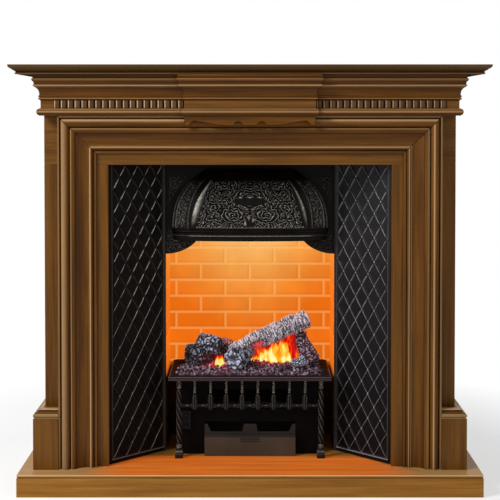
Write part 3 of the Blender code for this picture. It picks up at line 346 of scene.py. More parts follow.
def lightByFire(material):
    # the fire's orange light on the top of the hearth is painted on as emission, uneven along the grain,
    # and none on the edges below it; the top is painted paler than the front, and its front arris gets a
    # thin painted highlight
    f = fireLight
    add = functools.partial(addNode, material.node_tree)
    coords = add("TexCoord")
    place = add("SeparateXYZ", None, {"Vector": (coords, "Object")})
    sideways = add("Math", {"operation": "ABSOLUTE"}, {0: place})
    smooth = {"interpolation_type": "SMOOTHSTEP"}
    across = add("MapRange", {1: f["endsX"], 2: f["fullX"], **smooth}, {0: sideways})
    level, upper = (add("MapRange", {1: floorZ - first, 2: floorZ - last}, {0: (place, "Z")})
                    for first, last in (f["topSkin"], f["arrisDrop"]))
    inward = add("MapRange", {1: f["endsY"], 2: f["fullY"], **smooth}, {0: (place, "Y")})
    slant = add("Math", {"operation": "MULTIPLY_ADD", 1: f["cheekSlope"]},
                {0: sideways, 2: (place, "Y")})
    beforeCheek = add("MapRange", dict(zip((1, 2), f["cheekEdge"])), {0: slant})
    stretched = add("Mapping", {"Scale": (5.0, 60.0, 60.0)}, {"Vector": (coords, "Object")})
    uneven = add("TexNoise", {"Scale": 1.0, "Detail": 3.0}, {"Vector": stretched})
    change = add("MapRange", {1: 0.3, 2: 0.7, 3: 0.75, 4: 1.15}, {0: uneven})
    share = across
    for factor in (level, inward, beforeCheek, change):
        share = add("Math", {"operation": "MULTIPLY"}, {0: share, 1: factor})
    shader = material.node_tree.nodes["Principled BSDF"]
    shader.inputs["Emission Color"].default_value = hexToLinear("A43A00")
    colour = shader.inputs["Base Color"].links[0].from_socket
    away = add("MapRange", dict(zip((1, 2, 3, 4), f["palerX"] + f["paler"])), {0: sideways})
    front = add("MapRange", {1: f["arrisY"][0], 2: f["arrisY"][1], 4: f["arrisShare"]},
                {0: (place, "Y")})
    for first, second, paint in ((level, away, "C8A474"), (front, upper, "E0B884")):
        both = add("Math", {"operation": "MULTIPLY"}, {0: first, 1: second})
        colour = add("Mix", {"data_type": "RGBA", 7: hexToLinear(paint)}, {0: both, 6: colour})
    feed(shader, {"Emission Strength": share, "Base Color": colour})


mouldingWood = lacqueredMahogany("lacqueredMahoganyMoulding", "uv", "402404", "583408", "6B430F")
uprightWood = lacqueredMahogany("lacqueredMahoganyUpright", "z", "4A2D0A", "603C10", "6E4718")
levelWood = lacqueredMahogany("lacqueredMahoganyLevel", "x", "4C2E0C", "623E14", "744D20")
hearthWood = lacqueredMahogany("lacqueredMahoganyHearth", "x", "7A4D18", "8B5C20", "9C6C2E")
lightByFire(hearthWood)
shelfWood = lacqueredMahogany("lacqueredMahoganyShelf", "x", "30200A", "40290D", "4C3413", specular=0.0)
shelfLipWood = lacqueredMahogany("lacqueredMahoganyShelfLip", "uv", "2E1D05", "3D280B", "483011",
                                 arris="6A4D28")


def dressNode(name, material, width=0.0):
    # a CAD solid keeps its shape, its loose triangles are merged and its arrises are eased
    node = nodes[name]
    node.data.materials.clear()
    node.data.materials.append(material)
    if width:
        weld = node.modifiers.new("joined", "WELD")
        weld.merge_threshold = 0.00002
        eased = node.modifiers.new("easedArris", "BEVEL")
        eased.width = width
        eased.segments = 2
        eased.limit_method = "ANGLE"
        eased.angle_limit = math.radians(35)
        eased.harden_normals = True


easedArris = 0.0009
for boardName in ("leg_panel_left", "leg_panel_right", "side_panel_left", "side_panel_right",
                  "inner_strip_left", "inner_strip_right", "plinth_block_left", "plinth_block_right"):
    dressNode(boardName, uprightWood, easedArris)
for boardName in ("header_panel", "rear_rail", "frieze_board", "centre_tablet", "inner_strip_head"):
    dressNode(boardName, levelWood, easedArris)
dressNode("hearth_riser", hearthWood, easedArris)
dressNode("hearth_top", hearthWood, easedArris)
dressNode("mantel_shelf", shelfWood)
print("stage: boards dressed")


# Moulding round the opening, from its outer edge inwards; second figure is the depth of each place

architrave = {
    "outerX": 0.571, "topZ": 1.12, "baseDepth": 0.1147,
    "filletDepth": 0.057, "rollCentre": (0.0215, 0.0640), "rollRadius": (0.0125, 0.0120),
    "quirkDepth": 0.0692, "reedCentre": (0.0440, 0.0650), "reedRadius": (0.0080, 0.0070),
    "hollow": ((0.0520, 0.0665), (0.0910, 0.0800)), "hollowSag": 0.0040,
    "beadCentre": (0.0965, 0.0800), "beadRadius": (0.0055, 0.0060), "width": 0.112,
    # where a highlight is painted on (above 0) or shade and glaze painted dark, by distance from the
    # outer edge: on the left arm and the head the outer flanks are lit, on the right arm the inner ones
    "glazeAndLightAt": (0.0, 0.0085, 0.0100, 0.0130, 0.0165, 0.0200, 0.0340, 0.0360, 0.0385, 0.0420, 0.0500,
                0.0600, 0.0890, 0.0912, 0.0945, 0.0975, 0.1040, 0.1050),
    "glazeAndLight": (0.0, 0.0, 0.08, 0.26, 0.08, 0.0, -0.05, 0.04, 0.10, -0.10, -0.12, -0.08,
              0.0, 0.18, 0.12, -0.12, -0.14, 0.0),
    "leftGlazeAndLight": (0.0, 0.0, 0.06, 0.16, 0.12, 0.11, -0.05, 0.06, 0.12, -0.06, -0.08, -0.05,
                  0.0, 0.24, 0.18, -0.10, -0.14, 0.0),
    "rightAt": (0.0, 0.0200, 0.0225, 0.0245, 0.0265, 0.0290, 0.0340, 0.0360, 0.0400, 0.0440, 0.0500,
                0.0600, 0.0860, 0.0900, 0.0925, 0.0960, 0.0985, 0.1050),
    "rightGlazeAndLight": (0.0, 0.0, 0.12, 0.28, 0.12, -0.08, -0.05, 0.04, 0.12, 0.0, -0.08, -0.05,
                   0.0, 0.24, -0.04, 0.22, -0.06, 0.0),
    # how much of the relief's own shading is kept there
    "keepAt": (0.0, 0.0080, 0.0100, 0.0330, 0.0345, 0.0900, 0.0930, 0.1030),
    "keep": (0.2, 0.4, 0.5, 0.5, 0.6, 0.6, 0.4, 0.12),
}


def architraveOutline():
    # a fillet, a half-round roll, a quirk, a half-round reed, a hollow that sags as a sine, a bead
    a = architrave
    high = lambda depth: a["baseDepth"] - depth
    flip = lambda points: np.stack([points[:, 0], a["baseDepth"] - points[:, 1]], 1)
    t = np.linspace(0, 1, 22)[1:-1, None]
    start, end = np.array(a["hollow"][0]), np.array(a["hollow"][1])
    hollow = start + (end - start) * t + np.array([0, 1]) * a["hollowSag"] * np.sin(math.pi * t)
    return outline((0, 0), (0, high(a["filletDepth"])), (0.0050, high(a["filletDepth"])),
                   (0.0062, high(0.0650)),
                   flip(arcPoints(a["rollCentre"], a["rollRadius"], 180, 360, 20)),
                   (0.0343, high(a["quirkDepth"])), (0.0359, high(a["quirkDepth"])),
                   flip(arcPoints(a["reedCentre"], a["reedRadius"], 180, 360, 14)),
                   (0.0522, high(0.0668)), flip(hollow), (0.0909, high(0.0812)),
                   flip(arcPoints(a["beadCentre"], a["beadRadius"], 180, 360, 12)),
                   (0.1024, high(0.0842)), (0.1042, high(0.0842)), (0.1050, high(0.0800)),
                   (a["width"], high(0.0800)), (a["width"], 0))


def archPath(halfX, ends, corners):
    # up one side, across and down the other; ends and corners are each a depth and a height
    return [at(-halfX, *ends), at(-halfX, *corners), at(halfX, *corners), at(halfX, *ends)]


def makeArchitrave():
    a = architrave
    path = archPath(a["outerX"], (a["baseDepth"], floorZ), (a["baseDepth"], a["topZ"]))
    profile = softenCorners(architraveOutline())
    proud = profile[:, 1] > 0.02
    tables = (("glazeAndLightAt", "leftGlazeAndLight"), ("glazeAndLightAt", "glazeAndLight"), ("rightAt", "rightGlazeAndLight"))
    add = np.array([np.interp(profile[:, 0], a[places], a[values]) * proud for places, values in tables])
    parts = carryProfile(profile, path, (0, -1, 0), shade=0.8, add=add,
                         keep=np.interp(profile[:, 0], a["keepAt"], a["keep"]))
    for part, word in zip(parts, ("left", "head", "right")):
        makePiece("architraveMoulding_" + word, [part], "root", mouldingWood,
                  ["architrave_" + word])


makeArchitrave()


# Header mouldings follow the face and step forward round the breakfront

header = {
    "bodyHalf": 0.620, "faceDepth": 0.058, "breakHalf": 0.194, "breakDepth": 0.038,
    "friezeBottom": 1.1203, "beadHeight": 0.0218, "corniceBottom": 1.1655, "corniceTop": 1.2414,
    # painted highlight, shade and glaze, and kept relief, by height in each moulding
    "torusGlazeAndLight": ((0.0, 0.006, 0.0085, 0.0105, 0.0120, 0.0140, 0.022),
                   (-0.28, -0.30, -0.10, 0.16, 0.14, -0.03, -0.05)),
    "corniceGlazeAndLight": ((0.0, 0.0045, 0.0065, 0.0085, 0.0100, 0.0130, 0.016, 0.020, 0.034, 0.040, 0.046,
                      0.050, 0.056, 0.058, 0.064, 0.068),
                     (-0.26, -0.22, 0.04, 0.04, -0.20, -0.14, -0.04, -0.07, -0.10, 0.0, 0.0,
                      -0.10, -0.08, 0.0, -0.04, -0.25)),
    "corniceKeep": ((0.0, 0.0045, 0.0065, 0.009, 0.016, 0.040, 0.045, 0.058),
                    (0.2, 0.3, 0.6, 0.3, 0.4, 0.9, 0.5, 0.5)),
}


def headerPath(z):
    h = header
    left = [at(-h["bodyHalf"], hearthDepth, z), at(-h["bodyHalf"], h["faceDepth"], z),
            at(-h["breakHalf"], h["faceDepth"], z), at(-h["breakHalf"], h["breakDepth"], z)]
    return left + [p * np.array([-1, 1, 1]) for p in reversed(left)]


def makeHeaderMouldings():
    h = header
    tall = h["beadHeight"]
    torus = outline((seatGap, 0), (0.0040, 0), (0.0042, 0.0012),
                    arcPoints((0.0045, 0.0112), (0.0061, 0.0092), -84, 84, 18),
                    (0.0038, 0.0207), (0.0030, tall), (seatGap, tall))
    torus = softenCorners(torus, 0.0005)
    makePiece("friezeTorus", carryProfile(torus, headerPath(h["friezeBottom"]), (0, 0, 1),
                                          add=np.interp(torus[:, 1], *h["torusGlazeAndLight"])),
              "root", mouldingWood, ["frieze_bead"])
    rise = h["corniceTop"] - h["corniceBottom"]
    cornice = outline((seatGap, 0), (0.0014, 0), (0.0020, 0.0016), (0.0034, 0.0022),
                      arcPoints((0.0034, 0.0050), (0.0026, 0.0027), -80, 80, 8),
                      (0.0034, 0.0082), (0.0034, 0.0096),
                      arcPoints((0.0036, 0.0124), (0.0022, 0.0024), -80, 80, 8),
                      (0.0030, 0.0154), (0.0030, 0.0176),
                      arcPoints((0.0197, 0.0185), (0.0167, 0.0215), 180, 104, 16),
                      (0.0160, 0.0406), (0.0172, 0.0412),
                      arcPoints((0.0172, 0.0440), (0.0021, 0.0027), -80, 80, 8),
                      (0.0168, 0.0472), (0.0168, 0.0500),
                      arcPoints((0.0230, 0.0502), (0.0062, 0.0068), 176, 108, 8),
                      (0.0212, 0.0574), (0.0218, 0.0582),
                      arcPoints((0.0206, 0.0618), (0.0024, 0.0034), -70, 80, 8),
                      (0.0196, 0.0656), (0.0196, rise), (seatGap, rise))
    cornice = softenCorners(cornice, 0.0005)
    makePiece("corniceMoulding", carryProfile(cornice, headerPath(h["corniceBottom"]), (0, 0, 1),
                                              keep=np.interp(cornice[:, 1], *h["corniceKeep"]),
                                              add=np.interp(cornice[:, 1], *h["corniceGlazeAndLight"])),
              "root", mouldingWood, ["cornice"])


makeHeaderMouldings()


# Strips of raised staves on the frieze, 19 on each side of the breakfront

staves = {
    "count": 19, "pitch": 0.0204, "height": 0.0228, "proud": 0.0041, "groove": 0.0070,
    "bottomZ": 1.1424, "startX": 0.1943, "faceDepth": 0.0577, "endRound": 0.0030,
}


def makeStaves():
    # height over the face = proud * (1 - groove dip) * (end rounding); the dip falls as a V with a
    # soft bottom at each pitch line, the ends drop as the quarter of an ellipse
    s = staves
    perPitch = 20
    columns = s["count"] * perPitch + 1
    u = np.linspace(0, s["count"] * s["pitch"], columns)
    toLine = np.abs((u + s["pitch"] / 2) % s["pitch"] - s["pitch"] / 2)
    flat = ease(0.0, 1.0, toLine / (s["groove"] / 2)) * 0.92 + 0.08
    crown = 1.0 + 0.05 * np.cos((u / s["pitch"] - 0.5) * 2 * math.pi)
    vShare = np.array([0, 0.03, 0.08, 0.16, 0.3, 0.5, 0.7, 0.84, 0.92, 0.97, 1.0])
    v = vShare * s["height"]
    toEnd = np.minimum(v, s["height"] - v)
    rounding = np.sqrt(1 - (1 - np.clip(toEnd / s["endRound"], 0, 1)) ** 2) * 0.45 + 0.55
    rise = s["proud"] * flat[None, :] * crown[None, :] * rounding[:, None]
    for side, word, strength in ((-1, "left", 0.42), (1, "right", 0.26)):
        # painted highlight on the arris towards the lamp, painted shade on the far one and in the groove
        d = (side * u) % s["pitch"]
        relief = strength * np.exp(-((d - 0.0042) / 0.0013) ** 2) \
            - 0.5 * np.maximum(ease(0.0030, 0.0010, d), ease(0.0155, 0.0190, d))
        x = np.broadcast_to(side * (s["startX"] + u), rise.shape)
        z = np.broadcast_to((s["bottomZ"] + v)[:, None], rise.shape)
        front = np.stack([x, s["faceDepth"] - rise - halfDepth, z], -1)
        back = front[[0, -1]].copy()
        back[..., 1] = s["faceDepth"] - halfDepth
        grid = np.concatenate([back[:1], front, back[1:]])
        shade = np.vstack([np.zeros(columns), np.broadcast_to(relief, rise.shape), np.zeros(columns)])
        part = gridPart(grid, wrapRows=True, relief=shade,
                        uv=np.stack([grid[..., 0] * 0 + grid[..., 2], grid[..., 0]], -1))
        rows = len(grid)
        part["faces"].append([r * columns for r in range(rows)])
        part["faces"].append([r * columns + columns - 1 for r in range(rows)])
        makePiece("friezeStaves_" + word, [part], "root", staveWood,
                  ["reeded_strip_" + word], 50)


staveWood = lacqueredMahogany("lacqueredMahoganyStaves", "uv", "3E2812", "4E351D", "5C4226",
                              arris="C0A684", groove="1E0E02")
makeStaves()


# Apron board under the breakfront, with a scroll-cut lower edge

apron = {
    "half": 0.194, "topZ": 1.1200, "drop": 0.0292, "frontDepth": 0.0400, "thickness": 0.0110,
    "footWidth": 0.017, "rise": 0.0125,
}


def makeApron():
    # the lower edge is drawn as points and arcs on the right half and mirrored; the front arris is
    # eased by a ring set in and back from the outline
    a = apron
    low = a["topZ"] - a["drop"]
    high = low + a["rise"]
    t = np.linspace(0, 1, 24)[:, None]
    bow = np.array([[0.0700, low]]) + t * np.array([[0.0880, a["rise"]]])
    bow[:, 1] = low + a["rise"] * ease(0, 1, t[:, 0]) * (0.35 + 0.65 * t[:, 0])
    lobe = arcPoints((0.1640, high - 0.0035), (0.0075, 0.0042), 120, -10, 10)
    notch = arcPoints((0.0345, low + 0.0005), (0.0115, 0.0110), 180, 0, 12)
    right = np.vstack([[(0.0, low)], notch, bow, lobe, [(a["half"] - a["footWidth"], low + 0.0035)],
                       [(a["half"] - a["footWidth"] + 0.0012, low)], [(a["half"], low)],
                       [(a["half"], a["topZ"])]])
    left = right[1:][::-1] * np.array([-1, 1])
    edge = outline(right, left)
    toPrevious, toNext = edge - np.roll(edge, 1, 0), np.roll(edge, -1, 0) - edge
    tangent = toPrevious / np.linalg.norm(toPrevious, axis=1, keepdims=True) \
        + toNext / np.linalg.norm(toNext, axis=1, keepdims=True)
    tangent /= np.linalg.norm(tangent, axis=1, keepdims=True)
    inward = np.stack([-tangent[:, 1], tangent[:, 0]], 1)
    rings, fields = [], []
    # the rings' relief paints shade along the scroll-cut edge: dark near the front of its face and in a
    # band 2 mm wide on the front
    for inset, back, light in ((0.0, 1.0, 0.0), (0.0, 0.10, -0.2), (0.0003, 0.03, -0.60),
                               (0.0020, 0.0, -0.55), (0.0026, 0.0, 0.0)):
        ring = edge + inward * inset
        depth = a["frontDepth"] + back * a["thickness"]
        rings.append(np.stack([ring[:, 0], np.full(len(ring), depth - halfDepth), ring[:, 1]], 1))
        fields.append(np.full(len(ring), light))
    grid = np.array(rings)
    part = closedPart(grid, relief=np.array(fields), uv=np.stack([grid[..., 0], grid[..., 2]], -1))
    makePiece("scrollApron", [part], "root", mouldingWood, ["centre_apron"], 40)


makeApron()


# Shelf edge and plinth caps

shelf = {"innerHalf": 0.685, "frontDepth": 0.028, "bottomZ": 1.242, "lip": 0.022, "thickness": 0.028}


def makeShelfLip():
    s = shelf
    w, thick = s["lip"], s["thickness"]
    lip = outline((seatGap, 0), (0.0013, 0), arcPoints((0.0020, 0.0022), (0.0026, 0.0021), -60, 70, 6),
                  (0.0022, 0.0052), (0.0018, 0.0068), (0.0036, 0.0084),
                  arcPoints((0.0030, 0.0250), (0.0125, 0.0150), -76, -22, 10),
                  arcPoints((0.0235, 0.0120), (0.0085, 0.0085), 150, 108, 6),
                  (0.0212, 0.0222), (w, 0.0245), (w, thick - 0.0004), (w - 0.0006, thick),
                  (seatGap, thick))
    path = archPath(s["innerHalf"], (hearthDepth, s["bottomZ"]), (s["frontDepth"], s["bottomZ"]))
    lip = softenCorners(lip, 0.0006)
    # painted highlight on the bead at the foot of the lip and painted shade in the quirk above it, by
    # height
    add = np.interp(lip[:, 1], (0.0, 0.0010, 0.0060, 0.0075, 0.0090), (0.0, 0.16, 0.12, -0.20, 0.0))
    makePiece("shelfEdge", carryProfile(lip, path, (0, 0, 1), add=add), "root",
              shelfLipWood, ["shelf_lip"])


makeShelfLip()


plinthCap = {"outerX": 0.6464, "innerX": 0.5713, "frontDepth": 0.054, "wrapX": 0.6203,
             "bottomZ": 0.2173, "height": 0.0277, "backDepth": 0.1147}


def makePlinthCaps():
    p = plinthCap
    inset = p["outerX"] - p["wrapX"]
    h = p["height"]
    edge = [(-0.0034, 0), (-0.0034, 0.0020),
            arcPoints((-0.0064, 0.0090), (0.0064, 0.0066), -74, 74, 16),
            (-0.0056, 0.0162), (-0.0056, 0.0172),
            arcPoints((-0.0044, 0.0232), (0.0092, 0.0060), 268, 184, 10),
            (-0.0137, 0.0238),
            arcPoints((-0.0140, 0.0256), (0.0026, 0.0020), -80, 88, 10)]
    profile = softenCorners(outline((-inset, 0), *edge, (-inset, h)), 0.0005)
    for side, word in ((-1, "left"), (1, "right")):
        outer, inner = side * p["outerX"], side * p["innerX"]
        path = [at(outer, hearthDepth, p["bottomZ"]), at(outer, p["frontDepth"], p["bottomZ"]),
                at(inner, p["frontDepth"], p["bottomZ"])]
        if side > 0:
            path = path[::-1]
        parts = carryProfile(profile, path, (0, 0, 1), shade=0.3)
        # the middle of the cap, behind the front moulding and inside the side one
        x0, x1 = sorted((side * (p["wrapX"] + 0.0002), inner))
        y0, y1 = p["frontDepth"] + inset + 0.0002, p["backDepth"]
        grid = np.array([[at(x0, y0, z), at(x1, y0, z), at(x1, y1, z), at(x0, y1, z)]
                         for z in (p["bottomZ"], p["bottomZ"] + h)])
        parts.append(closedPart(grid, relief=0.0, uv=grid[..., [0, 1]]))
        makePiece("plinthCapMoulding_" + word, parts, "root", mouldingWood,
                  ["plinth_cap_" + word])


makePlinthCaps()
print("stage: mouldings made")


# Cast parts of the insert

def blackLeadedIron(name, tone="070403", second="130D0A", crestTone="B4ADA2", gloss=0.46, broken=0.6,
                    sheen=(0.07, 0.07)):
    # grey iron, sand cast and black-leaded: a dull graphite skin with a fine sand texture, polished
    # through to grey metal on the crests. The field "crest" is 0 in the ground and 1 on the crests; its
    # lighter, metallic colour is that polish and also a painted highlight, which some parts get only on
    # the side towards the lamps. The polish is broken up by spots a few millimetres wide. The two sheens
    # are the skin's specular level low down and high up.
    material, add, shader, spot = startMaterial(name)
    place = add("SeparateXYZ", None, {"Vector": spot})
    specular = add("MapRange", {1: 0.30, 2: 0.95, 3: sheen[0], 4: sheen[1]}, {0: (place, "Z")})
    patchy, spots, sand = (add("TexNoise", {"Scale": scale, "Detail": detail}, {"Vector": spot})
                           for scale, detail in ((22.0, 4.0), (210.0, 2.0), (900.0, 1.0)))
    ground = setRamp(add("ValToRGB", None, {0: patchy}), [(0.35, tone), (0.70, second)])
    worn = add("MapRange", {1: 0.40, 2: 0.58, 3: 1.0 - broken, 4: 1.0}, {0: spots})
    bright = add("Math", {"operation": "MULTIPLY"}, {0: fieldValue(add, "crest"), 1: worn})
    colour = add("Mix", {"data_type": "RGBA", 7: hexToLinear(crestTone)}, {0: bright, 6: ground})
    metal = add("MapRange", {3: 0.0, 4: 0.7}, {0: bright})
    rough = add("MapRange", {3: gloss, 4: 0.38}, {0: bright})
    bump = add("Bump", {"Strength": 0.35, "Distance": 0.0003}, {"Height": sand})
    feed(shader, {"Base Color": colour, "Metallic": metal, "Roughness": rough,
                  "Specular IOR Level": specular, "Normal": bump})
    return material


def paintedSteel(name, tone, second, roughness=0.5, specular=0.18, darkerAbove=None):
    # folded sheet steel with baked satin paint: even, with a faint mottle and orange peel, and
    # made darker above a height, fading in between two heights, where those are given
    material, add, shader, spot = startMaterial(name, roughness=roughness, specular=specular)
    mottle = add("TexNoise", {"Scale": 9.0, "Detail": 3.0}, {"Vector": spot})
    peel = add("TexNoise", {"Scale": 900.0}, {"Vector": spot})
    colour = setRamp(add("ValToRGB", None, {0: mottle}), [(0.35, tone), (0.68, second)])
    bump = add("Bump", {"Strength": 0.2, "Distance": 0.0001}, {"Height": peel})
    if darkerAbove:
        place = add("SeparateXYZ", None, {"Vector": spot})
        darkening = add("MapRange", {1: darkerAbove[0], 2: darkerAbove[1], 3: 1.0, 4: 0.22},
                   {0: (place, "Z")})
        colour = add("VectorMath", {"operation": "SCALE"}, {0: colour, "Scale": darkening})
    feed(shader, {"Base Color": colour, "Normal": bump})
    return material


castIron = blackLeadedIron("blackLeadedIron", broken=0.35)
# the right cheek's own copy of the iron, bluer in ground and crests, glossier, and with a specular level
# rising with height: a painted sheen for the lamps' light on that cheek
shinyIron = blackLeadedIron("blackLeadedIronSheen", "090708", "120F10", "C0BEC4", 0.42, 0.35, (0.10, 0.30))
ornamentIron = blackLeadedIron("blackLeadedOrnament", crestTone="C4BFB4", gloss=0.44)
darkSteel = paintedSteel("satinBlackSteel", "060403", "0C0807", 0.6, 0.04)
panSteel = paintedSteel("bakedAshPanPaint", "342C23", "42382D", 0.48, 0.22, (0.120, 0.134))
blackPlastic = paintedSteel("blackControlPlastic", "0A0909", "100F0E", 0.5, 0.12)
plainSteel = paintedSteel("zincPlatedSteel", "8A8A88", "A2A2A0", 0.35, 0.5)


def edgeLoop(rows, columns):
    # the numbers of a grid's outer points, once round
    index = np.arange(rows * columns).reshape(rows, columns)
    return np.concatenate([index[0, :-1], index[:-1, -1], index[-1, :0:-1], index[:0:-1, 0]])


def slab(front, back, **fields):
    # a grid of points in front, a wall round its edge and one face behind, shifted back by a vector
    rows, columns = front.shape[:2]
    loop = edgeLoop(rows, columns)
    edge = front.reshape(-1, 3)[loop] + np.array(back)
    start = rows * columns
    n = len(loop)
    k = np.arange(n)
    walls = np.stack([loop, np.roll(loop, -1), start + (k + 1) % n, start + k], 1).tolist()
    part = {"points": np.concatenate([front.reshape(-1, 3), edge]),
            "faces": gridFaces(rows, columns).tolist() + walls + [(start + k).tolist()]}
    for field, values in fields.items():
        flat = perPoint(field, values, rows, columns)
        part[field] = np.concatenate([flat, flat[loop] * 0.0])
    return part


# Splayed cheeks: a raised border and bead round a lattice of rounded ribs with a boss at each crossing

cheek = {
    "frontX": 0.4239, "frontDepth": 0.1045, "backX": 0.2626, "backDepth": 0.2547, "topZ": 0.985,
    "border": 0.0150, "columns": 4, "rows": 12, "ribHalf": 0.0029, "ribHeight": 0.0046,
    "bossRadius": 0.0042, "bossHeight": 0.0030, "beadHeight": 0.0036, "ground": 0.0036,
    "thickness": 0.0062,
    # for each side: polish and painted highlight of the ribs that lean towards the niche and of the
    # others, the same of the nodes, and how much thinner than the rib the bright line is
    "left": {"polishAndHighlight": (0.9, 0.08), "nodes": 0.15, "thin": 1.0},
    "right": {"polishAndHighlight": (0.46, 0.56), "nodes": 0.85, "thin": 1.5},
}


def latticeHeight(s, z, width, height, look):
    # in the skewed coordinates a = z / row + s / column and b = z / row - s / column the ribs are the
    # whole numbers of a and b. A rib is a half ellipse across, and swells as a sine from node to node.
    c = cheek
    border = c["border"]
    column, row = (width - 2 * border) / c["columns"], (height - 2 * border) / c["rows"]
    a = (z - border) / row + (s - border) / column
    b = (z - border) / row - (s - border) / column
    slope = math.hypot(1 / row, 1 / column)
    rise, polishAndHighlight = np.zeros_like(a), np.zeros_like(a)
    # low down the polish and painted highlight is a thin unbroken line with bright nodes
    lower = ease(0.62, 0.30, z / height)
    for across, along, leanHighlight in ((b, a, look["polishAndHighlight"][0]), (a, b, look["polishAndHighlight"][1])):
        distance = np.abs(across - np.round(across)) / slope
        swell = np.abs(np.sin(math.pi * along)) ** 0.6
        half = c["ribHalf"] * (0.62 + 0.38 * swell)
        rib = c["ribHeight"] * (0.55 + 0.45 * swell) * np.sqrt(np.clip(1 - (distance / half) ** 2, 0, 1))
        rise = np.maximum(rise, rib)
        thin = ease(0.52, 0.30, distance / half * np.maximum(look["thin"], 1 + 0.7 * lower))
        shine = leanHighlight * (1 - 0.25 * lower) * thin * ease(0.45, 0.80, swell + 0.5 * lower)
        polishAndHighlight = np.maximum(polishAndHighlight, shine)
    node = np.hypot(np.abs(a - np.round(a)), np.abs(b - np.round(b))) / slope / 0.72
    boss = c["bossHeight"] * np.sqrt(np.clip(1 - (node / c["bossRadius"]) ** 2, 0, 1))
    rise = np.maximum(rise, boss)
    nodeShine = np.maximum(look["nodes"], 0.9 * lower) * ease(0.80, 0.45, node / c["bossRadius"])
    polishAndHighlight = np.maximum(polishAndHighlight, nodeShine)
    edge = np.minimum(np.minimum(s, width - s), np.minimum(z, height - z))
    inside = ease(border - 0.0004, border + 0.0016, edge)
    bead = c["beadHeight"] * np.sqrt(np.clip(1 - ((edge - border + 0.0034) / 0.0032) ** 2, 0, 1))
    frameRise = np.where(edge < border - 0.0058, 0.0022 * ease(0.0, 0.0015, edge) + 0.0006, 0.0010)
    total = rise * inside + np.maximum(frameRise, bead) * (1 - inside)
    beadShine = (0.10 + 0.40 * (z < border)) * ease(0.8, 1.0, bead / c["beadHeight"])
    return total, polishAndHighlight * inside + beadShine * (1 - inside)


def spacedAlong(length, step, extra=()):
    # evenly spaced places with a few more close to given ones
    return np.unique(np.concatenate([np.linspace(0, length, int(round(length / step)) + 1), *extra]))


def makeCheeks():
    # the left cheek is s along its run and z up; the right one is its mirror image
    c = cheek
    run = np.array([c["frontX"] - c["backX"], c["backDepth"] - c["frontDepth"]])
    width, height = float(np.hypot(*run)), c["topZ"] - floorZ
    s, z = crossed(spacedAlong(width, 0.00155), spacedAlong(height, 0.0024))
    out = np.array([run[1], -run[0]]) / width
    for side, word, iron in ((1, "left", castIron), (-1, "right", shinyIron)):
        rise, crest = latticeHeight(s, z, width, height, c[word])
        depthIn = rise - c["ground"]
        x = -c["frontX"] + run[0] * s / width + out[0] * depthIn
        y = c["frontDepth"] - halfDepth + run[1] * s / width + out[1] * depthIn
        grid = np.stack([x * side, y, floorZ + z], -1)
        back = np.array([-out[0] * side, -out[1], 0]) * c["thickness"]
        makePiece("latticeCheek_" + word, [slab(grid, back, crest=crest)], "root", iron,
                  ["cheek_" + word], 50)


makeCheeks()


# Hood: bowed in plan, drawn in towards its crown, with two ribs painted with highlights, and leaf ornament
# between

hood = {
    "bottomHalf": 0.242, "topHalf": 0.139, "bottomBulge": 0.074, "topBulge": 0.022, "height": 0.185,
    "edgeZ": 0.733, "rimHeight": 0.034, "wall": 0.0036, "faceDepth": 0.2544, "curve": 2.8,
    "panelSpan": 0.537, "panelLow": 0.03, "panelHigh": 0.83, "panelProud": 0.0012,
    "ribRatio": 0.698, "ribLean": 0.075, "ribHalf": 0.045, "ribHeight": 0.0075, "ribHighlight": 0.54,
    "shellGrid": (221, 90), "panelGrid": (360, 134),     # points across and up
    # foliage: pitch of its ridges, spread of its centres, height and polish, which starts high up
    "shellLeaf": (0.0068, 0.0150, 0.0026, 0.30), "panelLeaf": (0.0076, 0.0175, 0.0044, 0.85),
    "polishFrom": 0.74,
    # raised lines up the shell, and one along the panel's foot: place, half width, height and polish
    "shellLines": (0.79, 0.945, 0.985), "shellLine": (0.008, 0.0030, 0.20),
    "footLine": (0.018, 0.012, 0.0022, 0.20),
    # centre panel, with z from its foot: (x, z, reach) of the volutes, the scallop, the cup and its
    # three buttons
    "volutes": ((0.0515, 0.0480, 0.016), (0.0, 0.1010, 0.024), (0.1080, 0.0720, 0.006)),
    "scallopFoot": (0.0, 0.0060), "scallopHalf": (0.0180, 0.0400), "scallopRays": 7,
    "cupZ": 0.0885, "cupHalf": (0.0480, 0.0120),
    "buttonPitch": 0.0290, "buttonZ": 0.1015, "buttonHalf": (0.0088, 0.0034),
}


def hoodSurface(across, up, proud):
    # x = half * sin(90 across)^0.85 and out = bulge * cos(90 across)^0.55, where half and bulge fall
    # with the height to the power of the curve; proud moves the point out on both
    h = hood
    share = up ** h["curve"]
    half = h["bottomHalf"] + (h["topHalf"] - h["bottomHalf"]) * share
    bulge = h["bottomBulge"] + (h["topBulge"] - h["bottomBulge"]) * share
    angle = across * math.pi / 2
    ratio = np.sign(across) * np.abs(np.sin(angle)) ** 0.85
    x = (half + proud) * ratio
    out = (bulge + proud) * np.clip(np.cos(angle), 0, 1) ** 0.55
    z = h["edgeZ"] + h["rimHeight"] + up * h["height"]
    return np.stack([x, h["faceDepth"] - out - halfDepth, z + 0 * x], -1), ratio


